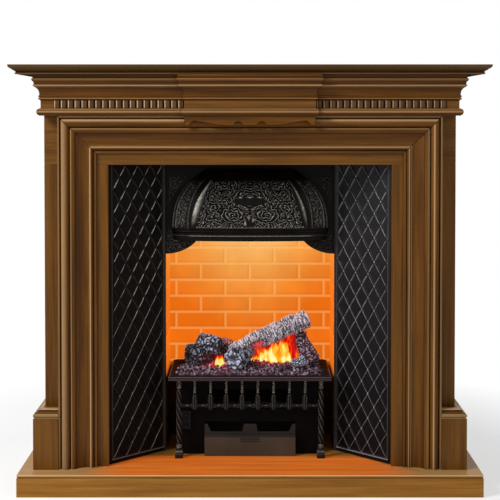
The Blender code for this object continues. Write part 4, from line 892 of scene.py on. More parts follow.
def whorls(x, z, seed, pitch, spread, places=(), warp=0.0030):
    # foliage of curling ridges: round each of many random centres run rings, one every pitch, and a
    # point belongs to the nearest centre. The plane is first bent by a slow wave, x is taken without
    # its sign so that both halves match, and a given place (x, z, reach) claims more ground.
    rng = np.random.default_rng(seed)
    x = np.abs(x)
    bentX = x + warp * np.sin(z * 2 * math.pi / 0.021 + 1.3) * np.cos(x * 2 * math.pi / 0.034)
    bentZ = z + warp * np.sin(x * 2 * math.pi / 0.018 + 0.4) * np.cos(z * 2 * math.pi / 0.041)
    low, high = np.array([x.min(), z.min()]), np.array([x.max(), z.max()])
    count = int(np.prod(high - low) / spread ** 2)
    centres = np.column_stack([rng.uniform(low, high, (count, 2)), np.zeros(count)])
    if len(places):
        centres = np.vstack([centres, places])
    best, angle = np.full(x.shape, 9.0), np.zeros(x.shape)
    for cx, cz, reach in centres:
        away = np.hypot((bentX - cx) / (1.45 if reach else 1.0), bentZ - cz)
        nearer = away - reach < best
        best = np.where(nearer, away - reach, best)
        angle = np.where(nearer, np.arctan2(bentZ - cz, bentX - cx) + away * 2 * math.pi / pitch, angle)
    return 0.5 + 0.5 * np.cos(angle)


def fanShell(x, z, centre, half, rays=11):
    # a scallop: ridges of the cosine of the angle round the foot of the fan, swelling with the radius
    u, v = (x - centre[0]) / half[0], (z - centre[1]) / half[1]
    radius, angle = np.hypot(u, v), np.arctan2(v, u)
    ridge = 0.35 + 0.65 * np.abs(np.cos(angle * rays / 2))
    return ridge * np.sqrt(np.clip(radius, 0, 1)), ease(1.03, 0.94, radius) * ease(-0.10, 0.02, v)


def hoodOrnament(x, z):
    # the centre panel: curling foliage with two oval volutes, a ringed shell over a plain cup with
    # three buttons, and a palmette at the foot
    h = hood
    middle = z - h["edgeZ"] - h["rimHeight"]
    pitch, spread = h["panelLeaf"][:2]
    height = 0.9 * whorls(x, middle, 5, pitch, spread, h["volutes"])
    shape, mask = fanShell(x, middle, h["scallopFoot"], h["scallopHalf"], h["scallopRays"])
    height = height * (1 - mask) + shape * mask
    wide, tall = h["cupHalf"]
    plain = ease(1.08, 0.90, np.hypot(x / wide, (middle - h["cupZ"]) / tall))
    height = height * (1 - plain) + plain * 0.30
    wide, tall = h["buttonHalf"]
    for place in (-1, 0, 1):
        button = np.hypot((x - place * h["buttonPitch"]) / wide, (middle - h["buttonZ"]) / tall)
        mask = ease(1.05, 0.85, button)
        height = height * (1 - mask) + mask * (1.05 - 0.35 * button)
    return height


def makeHood():
    h = hood
    # shell: outer grid, then the inner one, joined round the edge
    columns, rows = h["shellGrid"]
    upGrid, acrossGrid = crossed(np.linspace(0, 1, rows), np.linspace(-1, 1, columns))
    base, ratio = hoodSurface(acrossGrid, upGrid, 0.0)
    x, z = base[..., 0], base[..., 2]
    side = ease(0.81, 0.84, np.abs(ratio)) * ease(0.955, 0.93, np.abs(ratio)) \
        * ease(0.03, 0.07, upGrid) * ease(0.84, 0.74, upGrid)
    pitch, spread, tall, polishAndHighlight = h["shellLeaf"]
    leaves = whorls(x, z, 21, pitch, spread)
    lineHalf, lineTall, linePolish = h["shellLine"]
    lines = sum(np.exp(-((np.abs(ratio) - place) / lineHalf) ** 2) for place in h["shellLines"])
    lines = lines * ease(0.0, 0.05, upGrid) * ease(0.86, 0.78, upGrid)
    rise = tall * leaves * side + lineTall * lines
    crest = polishAndHighlight * ease(h["polishFrom"], 1.0, leaves) * side + linePolish * lines
    outer, _ = hoodSurface(acrossGrid, upGrid, rise)
    inner, _ = hoodSurface(acrossGrid, upGrid, -h["wall"])
    behind = h["faceDepth"] - halfDepth
    outer[..., 1] = np.minimum(outer[..., 1], behind)
    inner[..., 1] = np.minimum(inner[..., 1], behind)
    both = np.concatenate([outer, inner[::-1]])
    faces = []
    for column in (0, columns - 1):
        faces.extend([[r * columns + column, (r + 1) * columns + column,
                       (2 * rows - 2 - r) * columns + column, (2 * rows - 1 - r) * columns + column]
                      for r in range(rows - 1)])
    part = gridPart(both, wrapRows=True, crest=np.concatenate([crest, crest[::-1] * 0]), extraFaces=faces)
    makePiece("hoodShell", [part], "root", ornamentIron, ["hood"], 45)

    # panel: ornament between two smooth ribs
    columns, rows = h["panelGrid"]
    upGrid, acrossGrid = crossed(np.linspace(h["panelLow"], h["panelHigh"], rows),
                                 np.linspace(-h["panelSpan"], h["panelSpan"], columns))
    base, ratio = hoodSurface(acrossGrid, upGrid, 0.0)
    x, z = base[..., 0], base[..., 2]
    # the ribs lean towards each other with height, swell in the middle and carry a painted highlight,
    # brighter on the left one
    share = (upGrid - h["panelLow"]) / (h["panelHigh"] - h["panelLow"])
    ornament = hoodOrnament(x, z)
    ribHalf = h["ribHalf"] * (0.16 + 0.84 * np.sin(math.pi * np.clip(0.14 + 0.82 * share, 0, 1)) ** 0.9)
    place = (np.abs(ratio) - h["ribRatio"] + h["ribLean"] * (share - 0.2)) / ribHalf
    rib = np.sqrt(np.clip(1 - place ** 2, 0, 1))
    inside = ease(-1.05, -1.55, place) * ease(0.0, 0.04, share) * ease(1.0, 0.95, share)
    linePlace, lineHalf, lineTall, linePolish = h["footLine"]
    line = np.exp(-((share - linePlace) / lineHalf) ** 2) * ease(0.70, 0.66, np.abs(ratio))
    tall, polishAndHighlight = h["panelLeaf"][2:]
    rise = h["panelProud"] + tall * ornament * inside + h["ribHeight"] * rib + lineTall * line
    lit = np.exp(-(place + np.where(ratio < 0, 0.05, 0.25)) ** 2 / np.where(ratio < 0, 0.45, 0.07))
    fading = ease(0.0, 0.40, share) * ease(1.10, 0.75, share) * (1.14 - 0.30 * np.sign(ratio))
    crest = polishAndHighlight * ease(h["polishFrom"], 1.0, ornament) * inside \
        + h["ribHighlight"] * lit * fading * (rib > 0) + linePolish * line
    outer, _ = hoodSurface(acrossGrid, upGrid, rise)
    ring, _ = hoodSurface(acrossGrid, upGrid, 0.0005)
    # the wall's far edge and the back are the same grid, close to the shell
    count = rows * columns
    part = slab(outer, (0, 0, 0), crest=crest)
    part["points"][count:] = ring.reshape(-1, 3)[edgeLoop(rows, columns)]
    part["faces"] = part["faces"][:-1]
    inner = gridPart(ring, crest=0.0)
    makePiece("hoodOrnament", [part, inner], "root", ornamentIron, ["hood_panel"], 60)


makeHood()


def sweepSmooth(profile, path, up):
    # a profile (out, high) carried along a smooth path: point + side * out + up * high, where side is
    # square to the path's own direction at that point
    path, up = np.array(path, float), np.array(up, float)
    run = np.gradient(path, axis=0)
    run /= np.linalg.norm(run, axis=1, keepdims=True)
    side = np.cross(run, up)
    return path[:, None] + side[:, None] * profile[None, :, :1] + up * profile[None, :, 1:]


def makeHoodRim():
    h = hood
    across = np.linspace(-0.972, 0.972, 121)
    path, _ = hoodSurface(across, np.zeros_like(across), 0.0)
    path[:, 2] = h["edgeZ"]
    tall = h["rimHeight"] - seatGap
    rim = outline((-0.0090, 0), (-0.0030, 0), (-0.0008, 0.0040), (0.0004, 0.0130),
                  arcPoints((0.0008, 0.0160), (0.0030, 0.0020), -80, 80, 8),
                  (0.0010, 0.0190), arcPoints((0.0080, 0.0200), (0.0070, 0.0085), 180, 110, 8),
                  (0.0064, 0.0290), (0.0064, 0.0310), (0.0040, tall), (-0.0060, tall))
    rim = softenCorners(rim, 0.0006)
    grid = sweepSmooth(rim, path, (0, 0, 1))
    grid[..., 1] = np.minimum(grid[..., 1], h["faceDepth"] - halfDepth)
    # a thin painted highlight runs along the rim's front bead, full only in the middle
    middle = ease(0.198, 0.180, np.abs(path[:, 0]))[:, None]
    line = 0.36 * np.exp(-((rim[:, 1] - 0.0165) / 0.0014) ** 2) * (rim[:, 0] > 0.0)
    crest = line * (0.15 + 0.85 * middle)
    makePiece("hoodRimMoulding", [closedPart(grid, crest=crest)], "root",
              castIron, ["hood_rim"], 45)


makeHoodRim()


def straightBar(profile, path, first, second, crest):
    # the profile's two measures laid along two directions, at every point of a straight path
    grid = np.array(path)[:, None] + np.array(first) * profile[None, :, :1] \
        + np.array(second) * profile[None, :, 1:]
    return closedPart(grid, crest=crest)


# Fascia behind the hood, with leaf spandrels above and leaf-covered ears below

fascia = {"half": 0.2655, "ear": 0.100, "drop": 0.047, "edgeZ": 0.733, "topZ": 0.985, "depth": 0.2547,
          "thickness": 0.0070, "proud": 0.0036, "grid": (250, 112),
          # foliage, the lip along the lower edge, and the beads beside the niche
          "leafPitch": 0.0066, "leafSpread": 0.0140, "leafHeight": 0.0030, "leafPolishAndShade": 0.20,
          "lipPlace": 0.0035, "lipHalf": 0.0024, "lipHeight": 0.0016, "lipPolish": 0.04,
          "beadX": 0.268, "beadTop": 0.9845, "beadProud": 0.0030, "beadPolish": 0.07}


def makeFascia():
    # z runs from the lower edge, level in the middle and falling as sin^1.5 at the ears, to the top
    f = fascia
    columns, rows = f["grid"]
    x = np.linspace(-f["half"], f["half"], columns)
    flat = f["half"] - f["ear"]
    turn = np.arccos(np.clip(1 - (np.abs(x) - flat) / f["ear"], 0, 1))
    low = f["edgeZ"] - f["drop"] * np.where(np.abs(x) > flat, np.sin(turn) ** 1.5, 0)
    share = np.linspace(0, 1, rows)[:, None]
    z = low[None, :] + (f["topZ"] - low[None, :]) * share
    xx = np.broadcast_to(x, z.shape)
    out, over = np.abs(xx), z - low[None, :]
    leaves = whorls(xx, z, 33, f["leafPitch"], f["leafSpread"])
    ears = ease(0.0, 0.012, over) * ease(0.766, 0.757, z) * ease(0.150, 0.170, out) \
        * ease(0.0, 0.004, f["half"] - out)
    corners = ease(0.835, 0.850, z) * ease(0.935, 0.925, z) * ease(0.0, 0.010, z * 0.62 + out - 0.775) \
        * ease(0.0, 0.010, f["half"] - out - 0.008)
    mask = np.maximum(ears, corners)
    lip = np.exp(-((over - f["lipPlace"]) / f["lipHalf"]) ** 2)
    rise = f["leafHeight"] * leaves * mask + f["lipHeight"] * lip
    # the leaves of the right half get half the polish: painted shade on the side away from the lamp
    crest = f["leafPolishAndShade"] * ease(0.76, 1.0, leaves) * mask * (1 - 0.5 * (xx > 0)) + f["lipPolish"] * lip
    front = np.stack([xx, f["depth"] + f["proud"] - rise - halfDepth, z], -1)
    makePiece("fasciaCasting", [slab(front, (0, f["thickness"] - 0.0016, 0), crest=crest)], "root",
              ornamentIron, ["fascia"], 50)
    # slim beads that cover the joint of each cheek with the fascia and the niche
    bead = softenCorners(outline((-0.0035, -0.0012), (0.0030, -0.0012), (0.0030, 0.0016),
                                 arcPoints((-0.0005, 0.0016), (0.0034, 0.0030), 0, 180, 8)), 0.0004)
    parts = []
    for side in (-1, 1):
        path = [at(side * f["beadX"], f["depth"] - f["beadProud"], z)
                for z in (floorZ + 0.001, f["beadTop"])]
        parts.append(straightBar(bead, path, (1.0, 0, 0), (0, -1.0, 0), f["beadPolish"]))
    makePiece("nicheBeads", parts, "root", castIron)


makeFascia()
dressNode("canopy", darkSteel)
print("stage: cheeks, hood and fascia cast")


# Brick-effect panels round the fire, lit from above by the lamp behind the hood

bricks = {
    "long": 0.162, "course": 0.0531, "cutCourse": 0.0356, "jointHalf": 0.0040, "recess": 0.0030,
    # painted light: the glow is emission rising between the two glow heights, none is painted below
    # darkBelowZ, in the tray's shadow, and edgeShade darkens the bricks' lower and right arrises
    "roughness": 0.0006, "glowTopZ": 0.74, "glowLowZ": 0.40, "darkBelowZ": 0.318, "edgeShade": 0.16,
}


def waveField(points, wavelength, seed, waves=20):
    # a smooth random field, about -1 to 1: the mean of plane waves of one length in random directions
    rng = np.random.default_rng(seed)
    turn = rng.normal(size=(waves, 3))
    turn /= np.linalg.norm(turn, axis=1, keepdims=True)
    start = rng.uniform(0, 2 * math.pi, waves)
    pitch = 2 * math.pi / (wavelength * rng.uniform(0.8, 1.3, waves))
    total = np.zeros(points.shape[:-1])
    for k in range(waves):
        total += np.cos((points @ turn[k]) * pitch[k] + start[k])
    return total / math.sqrt(waves)


def cellField(points, seed):
    # distances to the nearest and second nearest of one random point in each unit cell, and a random
    # value for the nearest: the place of a cell's point is the fraction of a large sine of its corner
    base = np.floor(points)
    near, second, mark = (np.full(points.shape[:-1], value) for value in (9.0, 9.0, 0.0))
    for step in np.ndindex(3, 3, 3):
        cell = base + np.array(step) - 1
        mixed = np.sin(cell @ np.array([127.1, 311.7, 74.7]) + seed)[..., None]
        mixed = mixed * np.array([43758.5, 22578.1, 19642.3])
        chance = mixed - np.floor(mixed)
        far = np.linalg.norm(cell + 0.1 + 0.8 * chance - points, axis=-1)
        closer = far < near
        second = np.where(closer, near, np.minimum(second, far))
        mark = np.where(closer, chance[..., 0], mark)
        near = np.where(closer, far, near)
    return near, second, mark


def glowingBrick(name):
    # cream fire-brick panel washed with orange light, which is painted on as emission: paler and
    # yellower near the lamp at the top, dimmer to the sides, and none below the tray, in its shadow
    material, add, shader, spot = startMaterial(name, roughness=0.85, specular=0.1, glow=1.0)
    place = add("SeparateXYZ", None, {"Vector": spot})
    b = bricks
    up = add("MapRange", {1: b["glowLowZ"], 2: b["glowTopZ"]}, {0: (place, "Z")})
    across = add("Math", {"operation": "ABSOLUTE"}, {0: place})
    side = add("MapRange", {1: 0.06, 2: 0.27, 3: 0.0, 4: 0.42}, {0: across})
    level = add("Math", {"operation": "SUBTRACT"}, {0: up, 1: side})
    glow = setRamp(add("ValToRGB", None, {0: level}),
                   [(0.0, "E96C0C"), (0.35, "EB8328"), (0.70, "F1A34C"), (1.0, "F8C074")])
    mottle = add("TexNoise", {"Scale": 14.0, "Detail": 5.0}, {"Vector": spot})
    grain = add("TexNoise", {"Scale": 420.0, "Detail": 2.0}, {"Vector": spot})
    shade = add("MapRange", {1: 0.3, 2: 0.7, 3: 0.94, 4: 1.05}, {0: mottle})
    above = add("MapRange", {1: b["darkBelowZ"] - 0.025, 2: b["darkBelowZ"]}, {0: (place, "Z")})
    lit = add("Math", {"operation": "MULTIPLY"}, {0: shade, 1: above})
    toned = add("Math", {"operation": "MULTIPLY"}, {0: lit, 1: fieldValue(add, "tint")})
    dimmed = add("VectorMath", {"operation": "SCALE"}, {0: glow, "Scale": toned})
    share = add("Math", {"operation": "MULTIPLY", 1: 0.34}, {0: fieldValue(add, "joint")})
    share = add("Math", {"operation": "MULTIPLY"}, {0: share, 1: above})
    pointed = add("Mix", {"data_type": "RGBA", 7: hexToLinear("FFC070")}, {0: share, 6: dimmed})
    base = setRamp(add("ValToRGB", None, {0: mottle}), [(0.3, "3A2010"), (0.7, "4A2A16")])
    bump = add("Bump", {"Strength": 0.4, "Distance": 0.0004}, {"Height": grain})
    feed(shader, {"Base Color": base, "Emission Color": pointed, "Normal": bump})
    return material


fireBrick = glowingBrick("glowingFireBrick")


def brickWall(name, node, origin, run, out, width, height, thickness, shift, pointed):
    # a running bond on a cut bottom course: the joint lies where the distance to the nearest course
    # line or end line is small, and the face falls back there by a smooth step. The lower and right
    # arris of every brick gets a painted shade, as from the lamp above, and the side panels are painted
    # a little brighter.
    b = bricks
    near = np.array([-0.0070, -0.0052, -0.0040, -0.0026, 0.0, 0.0026, 0.0040, 0.0052, 0.0070])
    levels = (b["cutCourse"] + np.arange(0, 18) * b["course"])[:, None] + near
    ends = (np.arange(-4, 5) * b["long"] / 2)[:, None] + near + width / 2
    s = spacedAlong(width, 0.009, [ends[(ends > 0) & (ends < width)]])
    z = spacedAlong(height, 0.009, [levels[(levels > 0) & (levels < height)]])
    s, z = crossed(s, z)
    upward = (z - b["cutCourse"]) / b["course"]
    row = np.floor(upward) + 1
    toCourse = np.abs(upward - np.round(upward)) * b["course"]
    along = (s - width / 2) / b["long"] + 0.5 * ((row + shift) % 2)
    toEnd = np.abs(along - np.round(along)) * b["long"]
    gap = np.minimum(toCourse, toEnd)
    joint = ease(b["jointHalf"] + 0.0010, b["jointHalf"] - 0.0010, gap)
    which = np.floor(along) * 7.3 + row * 3.1
    fromLeft = (along - np.floor(along)) * b["long"]
    fromFoot = (upward - np.floor(upward)) * b["course"]
    shadow = np.maximum(ease(0.0086, 0.0052, fromFoot), ease(0.0086, 0.0052, b["long"] - fromLeft))
    tint = 1.0 + 0.05 * np.sin(which * 12.9) - b["edgeShade"] * (shadow * (1 - joint))
    points = origin + run * s[..., None] + np.array([0, 0, 1.0]) * z[..., None]
    wavy = waveField(points, 0.02, 3) * b["roughness"]
    sunk = joint * b["recess"] - wavy * (1 - joint) + b["roughness"] * 2
    out = np.array(out)
    wall = slab(points - out * sunk[..., None], -out * (thickness - b["recess"] - 0.002),
                joint=joint * pointed, tint=tint * (1.16 - 0.16 * pointed))
    makePiece(name, [wall], "root", fireBrick, [node], 50)


def makeBricks():
    low, high = boxCorners("brick_back")
    height = high[2] - low[2]
    brickWall("brickBackPanel", "brick_back", low, np.array([1.0, 0, 0]), (0, -1.0, 0),
              high[0] - low[0], height, high[1] - low[1], 0, 1.0)
    for word, side in (("left", -1), ("right", 1)):
        low, high = boxCorners("brick_side_" + word)
        inner = high[0] if side < 0 else low[0]
        brickWall("brickSidePanel_" + word, "brick_side_" + word, np.array([inner, low[1], low[2]]),
                  np.array([0, 1.0, 0]), (-side, 0, 0), high[1] - low[1], height, high[0] - low[0], 1, 0.35)


makeBricks()


# Fire basket: tray with a moulded rim, twisted legs on square feet, a row of turned spindles

basket = {
    "rimWidth": 0.018, "cornerRadius": 0.004, "floorTop": 0.3120,
    "legRadius": 0.0078, "footHeight": 0.027, "footHalf": 0.01225,
    # turning: steps round, depth and number of the ripples, their twist and where their polish starts
    "legTurning": (48, 0.17, 4, 230.0, 0.84), "spindleTurning": (32, 0.12, 6, 0.0, 0.80),
    "spindleCount": 8, "spindleRun": 0.438, "spindleDepth": 0.177,
    "railHalf": 0.229, "railZ": (0.218, 0.2275), "railDepth": 0.189,
    "railBossHalf": (0.0062, 0.0040, 0.0034),
}


def loopPath(halfX, halfY, centreY, z, radius, steps=5):
    # a rectangle with round corners, walked anticlockwise seen from above
    corners = ((1, 1, 0), (-1, 1, 90), (-1, -1, 180), (1, -1, 270))
    flat = np.vstack([arcPoints((sx * (halfX - radius), centreY + sy * (halfY - radius)), radius,
                                start, start + 90, steps) for sx, sy, start in corners])
    return np.column_stack([flat, np.full(len(flat), z)])


def sweepLoop(profile, path, up):
    # the profile (out, high) at every point of a closed path, out being square to the chord between
    # the neighbours of that point
    run = np.roll(path, -1, axis=0) - np.roll(path, 1, axis=0)
    run /= np.linalg.norm(run, axis=1, keepdims=True)
    side = np.cross(run, np.array(up, float))
    return path[:, None] + side[:, None] * profile[None, :, :1] + np.array(up) * profile[None, :, 1:]


def turnedPart(profile, x, depth, steps, ripple=0.0, ripples=8, twist=0.0, crestFrom=0.70):
    # profile rows (radius, z, share of ripple, polish) turned about an upright axis, with the radius
    # rippled by 1 + ripple * cos(ripples * angle + twist * z)
    angle = np.linspace(0, 2 * math.pi, steps, endpoint=False)
    radius, z = profile[:, 0][:, None], profile[:, 1][:, None]
    wave = np.cos(ripples * angle[None, :] + twist * z)
    spread = profile[:, 2][:, None]
    r = radius * (1 + ripple * spread * wave)
    centre = at(x, depth, 0)
    grid = np.stack([centre[0] + r * np.cos(angle), centre[1] + r * np.sin(angle), z + 0 * r], -1)
    shine = profile[:, 3][:, None]
    crest = shine * np.where(spread > 0, ease(crestFrom, 1.0, 0.5 + 0.5 * wave), 1.0)
    return closedPart(grid, crest=crest)


def beadRun(low, high, count, neck, belly, steps=7):
    # beads one on another: radius = neck + (belly - neck) * |sin|^0.7 along the run
    t = np.linspace(0, 1, count * steps + 1)
    swell = np.abs(np.sin(math.pi * t * count)) ** 0.7
    return np.column_stack([neck + (belly - neck) * swell, low + (high - low) * t, np.zeros_like(t),
                            0.75 * ease(0.85, 1.0, swell)])


def plainRun(points, shine=0.04):
    # rows given one by one, with no ripple
    rows = np.array(points, float)
    return np.column_stack([rows, np.zeros(len(rows)), np.full(len(rows), shine)])


def smoothRun(low, high, radii, steps, spread=1.0, shine=0.20):
    # radii spaced evenly up the run, joined by straight lines
    t = np.linspace(0, 1, steps)
    places = np.linspace(0, 1, len(radii))
    radius = np.interp(t, places, radii)
    return np.column_stack([radius, low + (high - low) * t, np.full(steps, spread), np.full(steps, shine)])


def makeTray():
    b = basket
    low, high = boxCorners("basket_tray")
    halfX, halfY, centreY = high[0], (high[1] - low[1]) / 2, (high[1] + low[1]) / 2
    tall = high[2] - low[2]
    rim = outline((-b["rimWidth"], 0), (-0.0015, 0), (0, 0.0012), (0, 0.0070), (-0.0010, 0.0078),
                  (-0.0010, 0.0086), arcPoints((-0.0022, 0.0100), (0.0022, 0.0015), -70, 90, 8),
                  (-0.0060, 0.0118), (-0.0125, tall - 0.0004), (-0.0165, tall),
                  (-b["rimWidth"], tall - 0.001))
    rim = softenCorners(rim, 0.0004)
    path = loopPath(halfX, halfY, centreY, low[2], b["cornerRadius"])
    # painted highlights on the rim's arrises towards the front and a bright line along its front bead
    relief = np.clip(outlineRelief(rim, 0.0012)[0], 0, 0.30) * (rim[:, 0] > -0.014) \
        + 0.55 * np.exp(-((rim[:, 1] - 0.0113) / 0.0011) ** 2) * (rim[:, 0] > -0.0055)
    grid = sweepLoop(rim, path, (0, 0, 1))
    inner = (halfX - b["rimWidth"] + 0.0004, halfY - b["rimWidth"] + 0.0004)
    x, y = crossed(np.linspace(-inner[0], inner[0], 40),
                   centreY + np.linspace(-inner[1], inner[1], 20))
    plate = slab(np.stack([x, y, np.full_like(x, b["floorTop"] - 0.0003)], -1), (0, 0, -0.0032),
                 crest=0.0)
    makePiece("basketTray", [gridPart(grid, wrapRows=True, wrapColumns=True, crest=relief), plate], "root",
              trayIron, ["basket_tray"], 45)


def makeLegs():
    b = basket
    for word in ("left", "right"):
        low, high = boxCorners("leg_" + word)
        x, depth = (low[0] + high[0]) / 2, (low[1] + high[1]) / 2 + halfDepth
        top, foot = high[2], low[2] + b["footHeight"]
        r = b["legRadius"]
        profile = np.vstack([plainRun([(0.006, foot - 0.001), (0.0092, foot), (0.0098, foot + 0.002),
                                       (0.0088, foot + 0.004)]),
                             beadRun(foot + 0.004, foot + 0.016, 2, 0.0050, 0.0085),
                             smoothRun(foot + 0.018, top - 0.030, [r * 0.8, r, r, r, r * 0.9, r * 0.8],
                                       110, 1.0, 0.21),
                             beadRun(top - 0.028, top - 0.004, 4, 0.0046, 0.0074),
                             plainRun([(0.0105, top - 0.003), (0.0105, top), (0.004, top)])])
        column = turnedPart(profile, x, depth, *b["legTurning"])
        half = b["footHalf"]
        # the foot's rings: width, height and polish
        steps = ((1.0, 0.0, 0.02), (1.0, 0.0125, 0.02), (0.97, 0.0135, 0.20), (0.84, 0.0145, 0.0),
                 (0.84, 0.0165, 0.0), (0.94, 0.0180, 0.28), (0.94, 0.0212, 0.28), (0.86, 0.0228, 0.10),
                 (0.62, 0.0255, 0.02), (0.55, b["footHeight"], 0.02))
        rings = [loopPath(half * scale, half * scale, low[1] + half, low[2] + rise, half * scale * 0.16, 3)
                 + np.array([x, 0, 0]) for scale, rise, _ in steps]
        block = closedPart(np.array(rings), crest=np.array([[shine] for _, _, shine in steps]))
        makePiece("basketLeg_" + word, [column, block], "root", ornamentIron,
                  ["leg_" + word], 40)


def ballPart(centre, half, rows=9, columns=14, crest=0.30):
    # an ellipsoid: half * (cos u cos v, cos u sin v, sin u), its crest painted brighter on the upper
    # half as a highlight
    u, v = crossed(np.linspace(-1.45, 1.45, rows),
                   np.linspace(0, 2 * math.pi, columns, endpoint=False))
    grid = np.stack([np.cos(u) * np.cos(v), np.cos(u) * np.sin(v), np.sin(u)], -1) * np.array(half) + centre
    return closedPart(grid, crest=crest * ease(-0.3, 0.8, np.sin(u)))


def makeGrate():
    b = basket
    low, high = boxCorners("front_grate")
    top, bottom = high[2], low[2]
    pitch = b["spindleRun"] / (b["spindleCount"] + 1)
    profile = np.vstack([plainRun([(0.0015, bottom), (0.0040, bottom + 0.0008), (0.0060, bottom + 0.0030)]),
                         smoothRun(bottom + 0.005, bottom + 0.043, [0.0068, 0.0070, 0.0070, 0.0066], 16),
                         smoothRun(bottom + 0.044, bottom + 0.051, [0.0060, 0.0042], 5, 0.6),
                         beadRun(bottom + 0.053, top - 0.004, 6, 0.0024, 0.0042),
                         plainRun([(0.0054, top - 0.003), (0.0054, top - 0.0002), (0.002, top)])])
    parts = []
    for i in range(b["spindleCount"]):
        x = (i - (b["spindleCount"] - 1) / 2) * pitch
        parts.append(turnedPart(profile, x, b["spindleDepth"], *b["spindleTurning"]))
    makePiece("basketSpindles", parts, "root", ornamentIron, ["front_grate"], 40)
    railLow, railHigh = b["railZ"]
    bar = softenCorners(outline((0, 0), (0.007, 0), (0.007, 0.0095), (0, 0.0095)), 0.001)
    path = [at(side * b["railHalf"], b["railDepth"], railLow) for side in (-1, 1)]
    parts = [straightBar(bar, path, (0, 1.0, 0), (0, 0, 1.0), 0.05)]
    for i in range(b["spindleCount"] + 1):
        x = (i - b["spindleCount"] / 2) * pitch
        parts.append(ballPart(at(x, b["railDepth"] - 0.002, (railLow + railHigh) / 2), b["railBossHalf"]))
    makePiece("basketRail", parts, "root", ornamentIron, (), 40)


# the tray's iron and its crests are tinted mauve: a painted stand-in for the fire's red light on it
trayIron = blackLeadedIron("warmTrayIron", "0D0708", "1B1113", "6E5A5E", 0.78, 0.2)
makeTray()
makeLegs()
makeGrate()
print("stage: bricks and basket")


# Fuel bed: embers, charred logs and the lit flame film between them

fuel = {
    "bedRise": 0.013, "bedCrown": 0.016, "barkDepth": 0.0050, "seed": 11,
    "lumps": 900, "lumpRows": 6, "lumpColumns": 8,
    "swell": {"log_diagonal": 0.30},
    # the bed's grid across and back, its cells, the height of its skin and how far it dips at a crack
    "bedGrid": (220, 105), "bedCell": (0.011, 0.010, 0.020), "bedSkin": 0.0045, "bedDip": 0.002,
    "bedHalf": 0.228, "bedNarrowing": 0.022,
    # a log's rings: the step along it, points round it, rings in each end and how far the ends bulge
    "logStep": 0.0016, "logAround": 150, "capRings": 12, "capBulge": 0.22,
    "cellWarp": 0.22, "crackDepth": 0.003,
}
heatSpots = {
    # centre as x, depth, z, and half size: the flame between the logs, the small one at its left
    # and the crack where two logs cross
    "main": ((0.070, 0.262, 0.372), (0.085, 0.075, 0.052)),
    "small": ((-0.098, 0.240, 0.350), (0.075, 0.060, 0.030)),
    "crack": ((0.024, 0.215, 0.398), (0.024, 0.055, 0.027)),
}
logShapes = {
    # start and end as x, depth, z; radius; bend; size of the bark's blocks along and round the log
    "log_rear_left": ((-0.186, 0.260, 0.364), (-0.093, 0.322, 0.364), 0.0355, 0.003, 0.012, 0.011),
    "log_upper_left": ((-0.158, 0.290, 0.407), (-0.102, 0.262, 0.393), 0.0262, 0.001, 0.012, 0.014),
    "log_front": ((-0.052, 0.192, 0.366), (-0.012, 0.300, 0.370), 0.034, 0.003, 0.014, 0.015),
    "log_diagonal": ((-0.040, 0.236, 0.388), (0.177, 0.300, 0.472), 0.0282, 0.002, 0.0064, 0.032),
    "log_right": ((0.158, 0.302, 0.418), (0.195, 0.255, 0.342), 0.0245, 0.002, 0.011, 0.012),
}
stubShapes = {
    # the same measures and the seed
    "ashCoveredStub": ((0.136, 0.205, 0.352), (0.167, 0.200, 0.361), 0.0115, 0.001, 0.008, 0.008, 71),
    "glowingStub": ((-0.088, 0.322, 0.398), (-0.048, 0.330, 0.372), 0.0140, 0.001, 0.007, 0.007, 83),
}


def charredMaterial(name, dark, middle, light, pale):
    # moulded ceramic logs painted as charred wood: the field "high" runs from the cracks to the
    # crests, "mark" differs from block to block, and "ember" is red emission: the flames' light
    # painted on beside them, and the red glow in the crack where two logs cross
    material, add, shader, spot = startMaterial(name, roughness=0.75, specular=0.18, glow=1.0)
    speck = add("TexNoise", {"Scale": 260.0, "Detail": 2.0}, {"Vector": spot})
    patch = add("TexNoise", {"Scale": 38.0, "Detail": 3.0}, {"Vector": spot})
    high, mark, ember = (fieldValue(add, field) for field in ("high", "mark", "ember"))
    level = add("Math", {"operation": "MULTIPLY", 1: 0.66}, {0: high})
    level = add("Math", {"operation": "MULTIPLY_ADD", 1: 0.18}, {0: mark, 2: level})
    noisy = add("MapRange", {1: 0.35, 2: 0.65, 3: -0.10, 4: 0.13}, {0: speck})
    total = add("Math", {"operation": "ADD"}, {0: level, 1: noisy})
    colour = setRamp(add("ValToRGB", None, {0: total}),
                     [(0.12, dark), (0.45, middle), (0.78, light), (1.0, pale)])
    redness = setRamp(add("ValToRGB", None, {0: patch}), [(0.40, 0.25), (0.62, 1.0)])
    heat = add("Math", {"operation": "MULTIPLY"}, {0: ember, 1: redness})
    glow = setRamp(add("ValToRGB", None, {0: heat}),
                   [(0.0, "000000"), (0.25, "4A0A12"), (0.6, "B01818"), (1.0, "F04010")])
    bump = add("Bump", {"Strength": 0.6, "Distance": 0.0008}, {"Height": speck})
    feed(shader, {"Base Color": colour, "Emission Color": glow, "Normal": bump})
    return material


charredLog = charredMaterial("charredCeramicLog", "161218", "565260", "A0A4B6", "DCE2F0")
darkLog = charredMaterial("darkCharredCeramicLog", "0A0809", "2A262B", "6A6C78", "B4BAC6")
ashyLog = charredMaterial("ashyCharredCeramicLog", "443C46", "A2989E", "CCC2CA", "EEEAF0")
ruddyLog = charredMaterial("ruddyCharredCeramicLog", "1A1014", "5C464E", "967E88", "D2C6CE")
glowingStub = charredMaterial("glowingCeramicStub", "7A3A34", "B06A60", "D0928A", "E4B8B0")
paleLog = charredMaterial("ashCoveredLog", "2A282C", "767A84", "B2BAC8", "E2E8F0")
emberCoal = charredMaterial("emberCoals", "160A10", "604852", "A898A8", "F0ECF6")


